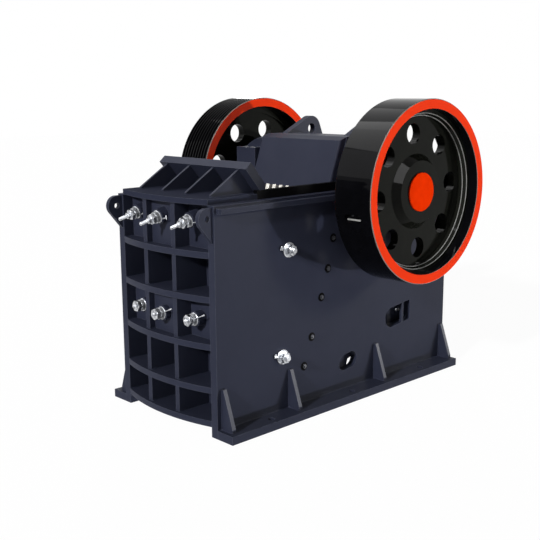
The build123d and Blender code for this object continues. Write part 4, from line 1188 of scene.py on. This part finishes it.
@dataclass
class Studio:
    """White floor, white surroundings, lamps and the camera."""

    camera_at: Triple = (5.202, -5.224, 2.457)
    yaw: float = 46.4418
    pitch: float = 11.4325
    roll: float = -0.3346
    lens: float = 59.587
    view_end: float = 200.0
    world_light: float = 0.12
    floor_glow: float = 1.035
    floor_share: float = 0.93
    floor_reach: float = 40.0
    panels_face: Triple = (0.9, 0.0, 1.9)

    def build(self) -> None:
        """Set the whole studio up."""
        self.surroundings()
        self.floor()
        self.lamps()
        self.camera()
        bpy.context.scene.view_settings.view_transform = "Standard"

    def seen_share(self, tree: NodeTree) -> NodeSocket:
        """1 for what the camera sees directly, in gloss or through glass, else 0."""
        path = add_node(tree, "ShaderNodeLightPath")
        first = add_node(
            tree, "ShaderNodeMath", {"operation": "MAXIMUM"},
            {0: path.outputs["Is Camera Ray"], 1: path.outputs["Is Glossy Ray"]},
        )
        both = add_node(
            tree, "ShaderNodeMath", {"operation": "MAXIMUM"},
            {0: first.outputs["Value"], 1: path.outputs["Is Transmission Ray"]},
        )
        return both.outputs["Value"]

    def surroundings(self) -> None:
        """White world whose own light on the object is soft and weaker."""
        world = bpy.data.worlds.new("studio_surroundings")
        bpy.context.scene.world = world
        tree = emptied(world)
        strength = add_node(
            tree, "ShaderNodeMapRange", {"To Min": self.world_light}, {"Value": self.seen_share(tree)}
        )
        light = add_node(
            tree, "ShaderNodeBackground", {"Color": linear("FFFFFF")},
            {"Strength": strength.outputs["Result"]},
        )
        add_node(tree, "ShaderNodeOutputWorld", links={"Surface": light.outputs["Background"]})

    def floor(self) -> None:
        """Level white floor that keeps the machine's soft shadow."""
        material = bpy.data.materials.new("white_studio_floor")
        tree = emptied(material)
        paper = add_node(tree, "ShaderNodeBsdfDiffuse", {"Color": linear("F4F4F4")})
        glow = add_node(tree, "ShaderNodeEmission", {"Color": linear("FFFFFF"), "Strength": self.floor_glow})
        share = add_node(
            tree, "ShaderNodeMath", {"operation": "MULTIPLY", 1: self.floor_share},
            {0: self.seen_share(tree)},
        )
        both = add_node(
            tree, "ShaderNodeMixShader",
            links={0: share.outputs["Value"], 1: paper.outputs["BSDF"], 2: glow.outputs["Emission"]},
        )
        add_node(tree, "ShaderNodeOutputMaterial", links={"Surface": both.outputs["Shader"]})
        mesh = bpy.data.meshes.new("studio_floor")
        reach = self.floor_reach
        corners = [(-reach, -reach, 0.0), (reach, -reach, 0.0), (reach, reach, 0.0), (-reach, reach, 0.0)]
        mesh.from_pydata(corners, [], [(0, 1, 2, 3)])
        mesh.materials.append(material)
        floor = linked("studio_floor", mesh)
        # The low side lamp reaches the machine from just under the horizon, as in a floating product shot.
        floor.visible_shadow = False

    def sun(
        self, name: str, towards: Triple, strength: float, spread: float,
        diffuse: bool = True, glossy: bool = True,
    ) -> None:
        """Distant lamp that stands in a given direction from the machine.

        Args:
            name: Name of the lamp.
            towards: Direction from the machine to the lamp.
            strength: Its strength.
            spread: Its angle in degrees, which softens the shadows.
            diffuse: Whether it lights matt surfaces.
            glossy: Whether it shows in gloss.
        """
        lamp = bpy.data.lights.new(name, "SUN")
        lamp.energy = strength
        lamp.angle = math.radians(spread)
        item = linked(name, lamp)
        item.rotation_euler = Vector(towards).to_track_quat("Z", "Y").to_euler()
        item.visible_diffuse = diffuse
        item.visible_glossy = glossy

    def panel(
        self, name: str, compass: float, height: float, distance: float, size: Pair, radiance: float
    ) -> None:
        """Softbox that shows in gloss, facing the wheel on the camera's side.

        Args:
            name: Name of the lamp.
            compass: Degrees from the X axis towards the Y axis.
            height: Degrees above the horizon.
            distance: Metres from the wheel.
            size: Width and height in metres.
            radiance: Its brightness, where 1 is as bright as the white surroundings.
        """
        lamp = bpy.data.lights.new(name, "AREA")
        lamp.shape = "RECTANGLE"
        lamp.size, lamp.size_y = size
        lamp.energy = radiance * math.pi * size[0] * size[1]
        turn, lift = math.radians(compass), math.radians(height)
        away = Vector((math.cos(turn) * math.cos(lift), math.sin(turn) * math.cos(lift), math.sin(lift)))
        item = linked(name, lamp)
        item.location = Vector(self.panels_face) + away * distance
        item.rotation_euler = away.to_track_quat("Z", "Y").to_euler()
        item.visible_diffuse = False

    def lamps(self) -> None:
        """Low side sun, front key, rear fill, and the lamps that show in the wheels and along the edges."""
        self.sun("low_side_sun", (1.0, 1.07, -0.35), 2.0, 2.0, glossy=False)
        self.sun("front_key", (0.15, -0.9, 0.42), 2.7, 3.0)
        self.sun("left_rear_fill", (-1.0, 0.85, 0.05), 2.6, 8.0, glossy=False)
        self.sun("edge_light", (0.669, 0.68, 0.314), 10.5, 10.0, diffuse=False)
        self.panel("upper_left_softbox", 204.0, 51.0, 14.0, (10.4, 6.0), 4.6)
        self.panel("rear_left_softbox", 163.0, 51.0, 14.0, (7.6, 5.2), 1.1)
        self.panel("left_front_softbox", 224.0, 25.6, 14.0, (9.2, 6.16), 1.6)
        self.panel("right_softbox", -18.0, 40.0, 14.0, (11.0, 10.0), 12.0)

    def camera(self) -> None:
        """Camera at the picture's own viewpoint."""
        data = bpy.data.cameras.new("picture_camera")
        data.lens = self.lens
        data.sensor_width = 36.0
        data.clip_end = self.view_end
        turn, tilt, roll = (math.radians(v) for v in (self.yaw, self.pitch, self.roll))
        ahead = Vector((-math.sin(turn) * math.cos(tilt), math.cos(turn) * math.cos(tilt), -math.sin(tilt)))
        right = Vector((math.cos(turn), math.sin(turn), 0.0))
        up = right.cross(ahead)
        rolled_right = right * math.cos(roll) + up * math.sin(roll)
        rolled_up = up * math.cos(roll) - right * math.sin(roll)
        matrix = Matrix((rolled_right, rolled_up, -ahead)).transposed().to_4x4()
        matrix.translation = self.camera_at
        item = linked("picture_camera", data)
        item.matrix_world = matrix
        bpy.context.scene.camera = item


def main() -> None:
    """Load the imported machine, build every sub-assembly in order and light it."""
    logging.basicConfig(level=logging.INFO, format="%(name)s: %(message)s")
    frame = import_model()
    PaintedNodes(frame["nodes"]).dress()
    JawBolts().build()
    SidePlateFasteners().build()
    BearingFasteners().build()
    WheelLips().build()
    WindowDepths().build()
    Welds().build()
    Studio().build()


if __name__ == "__main__":
    main()
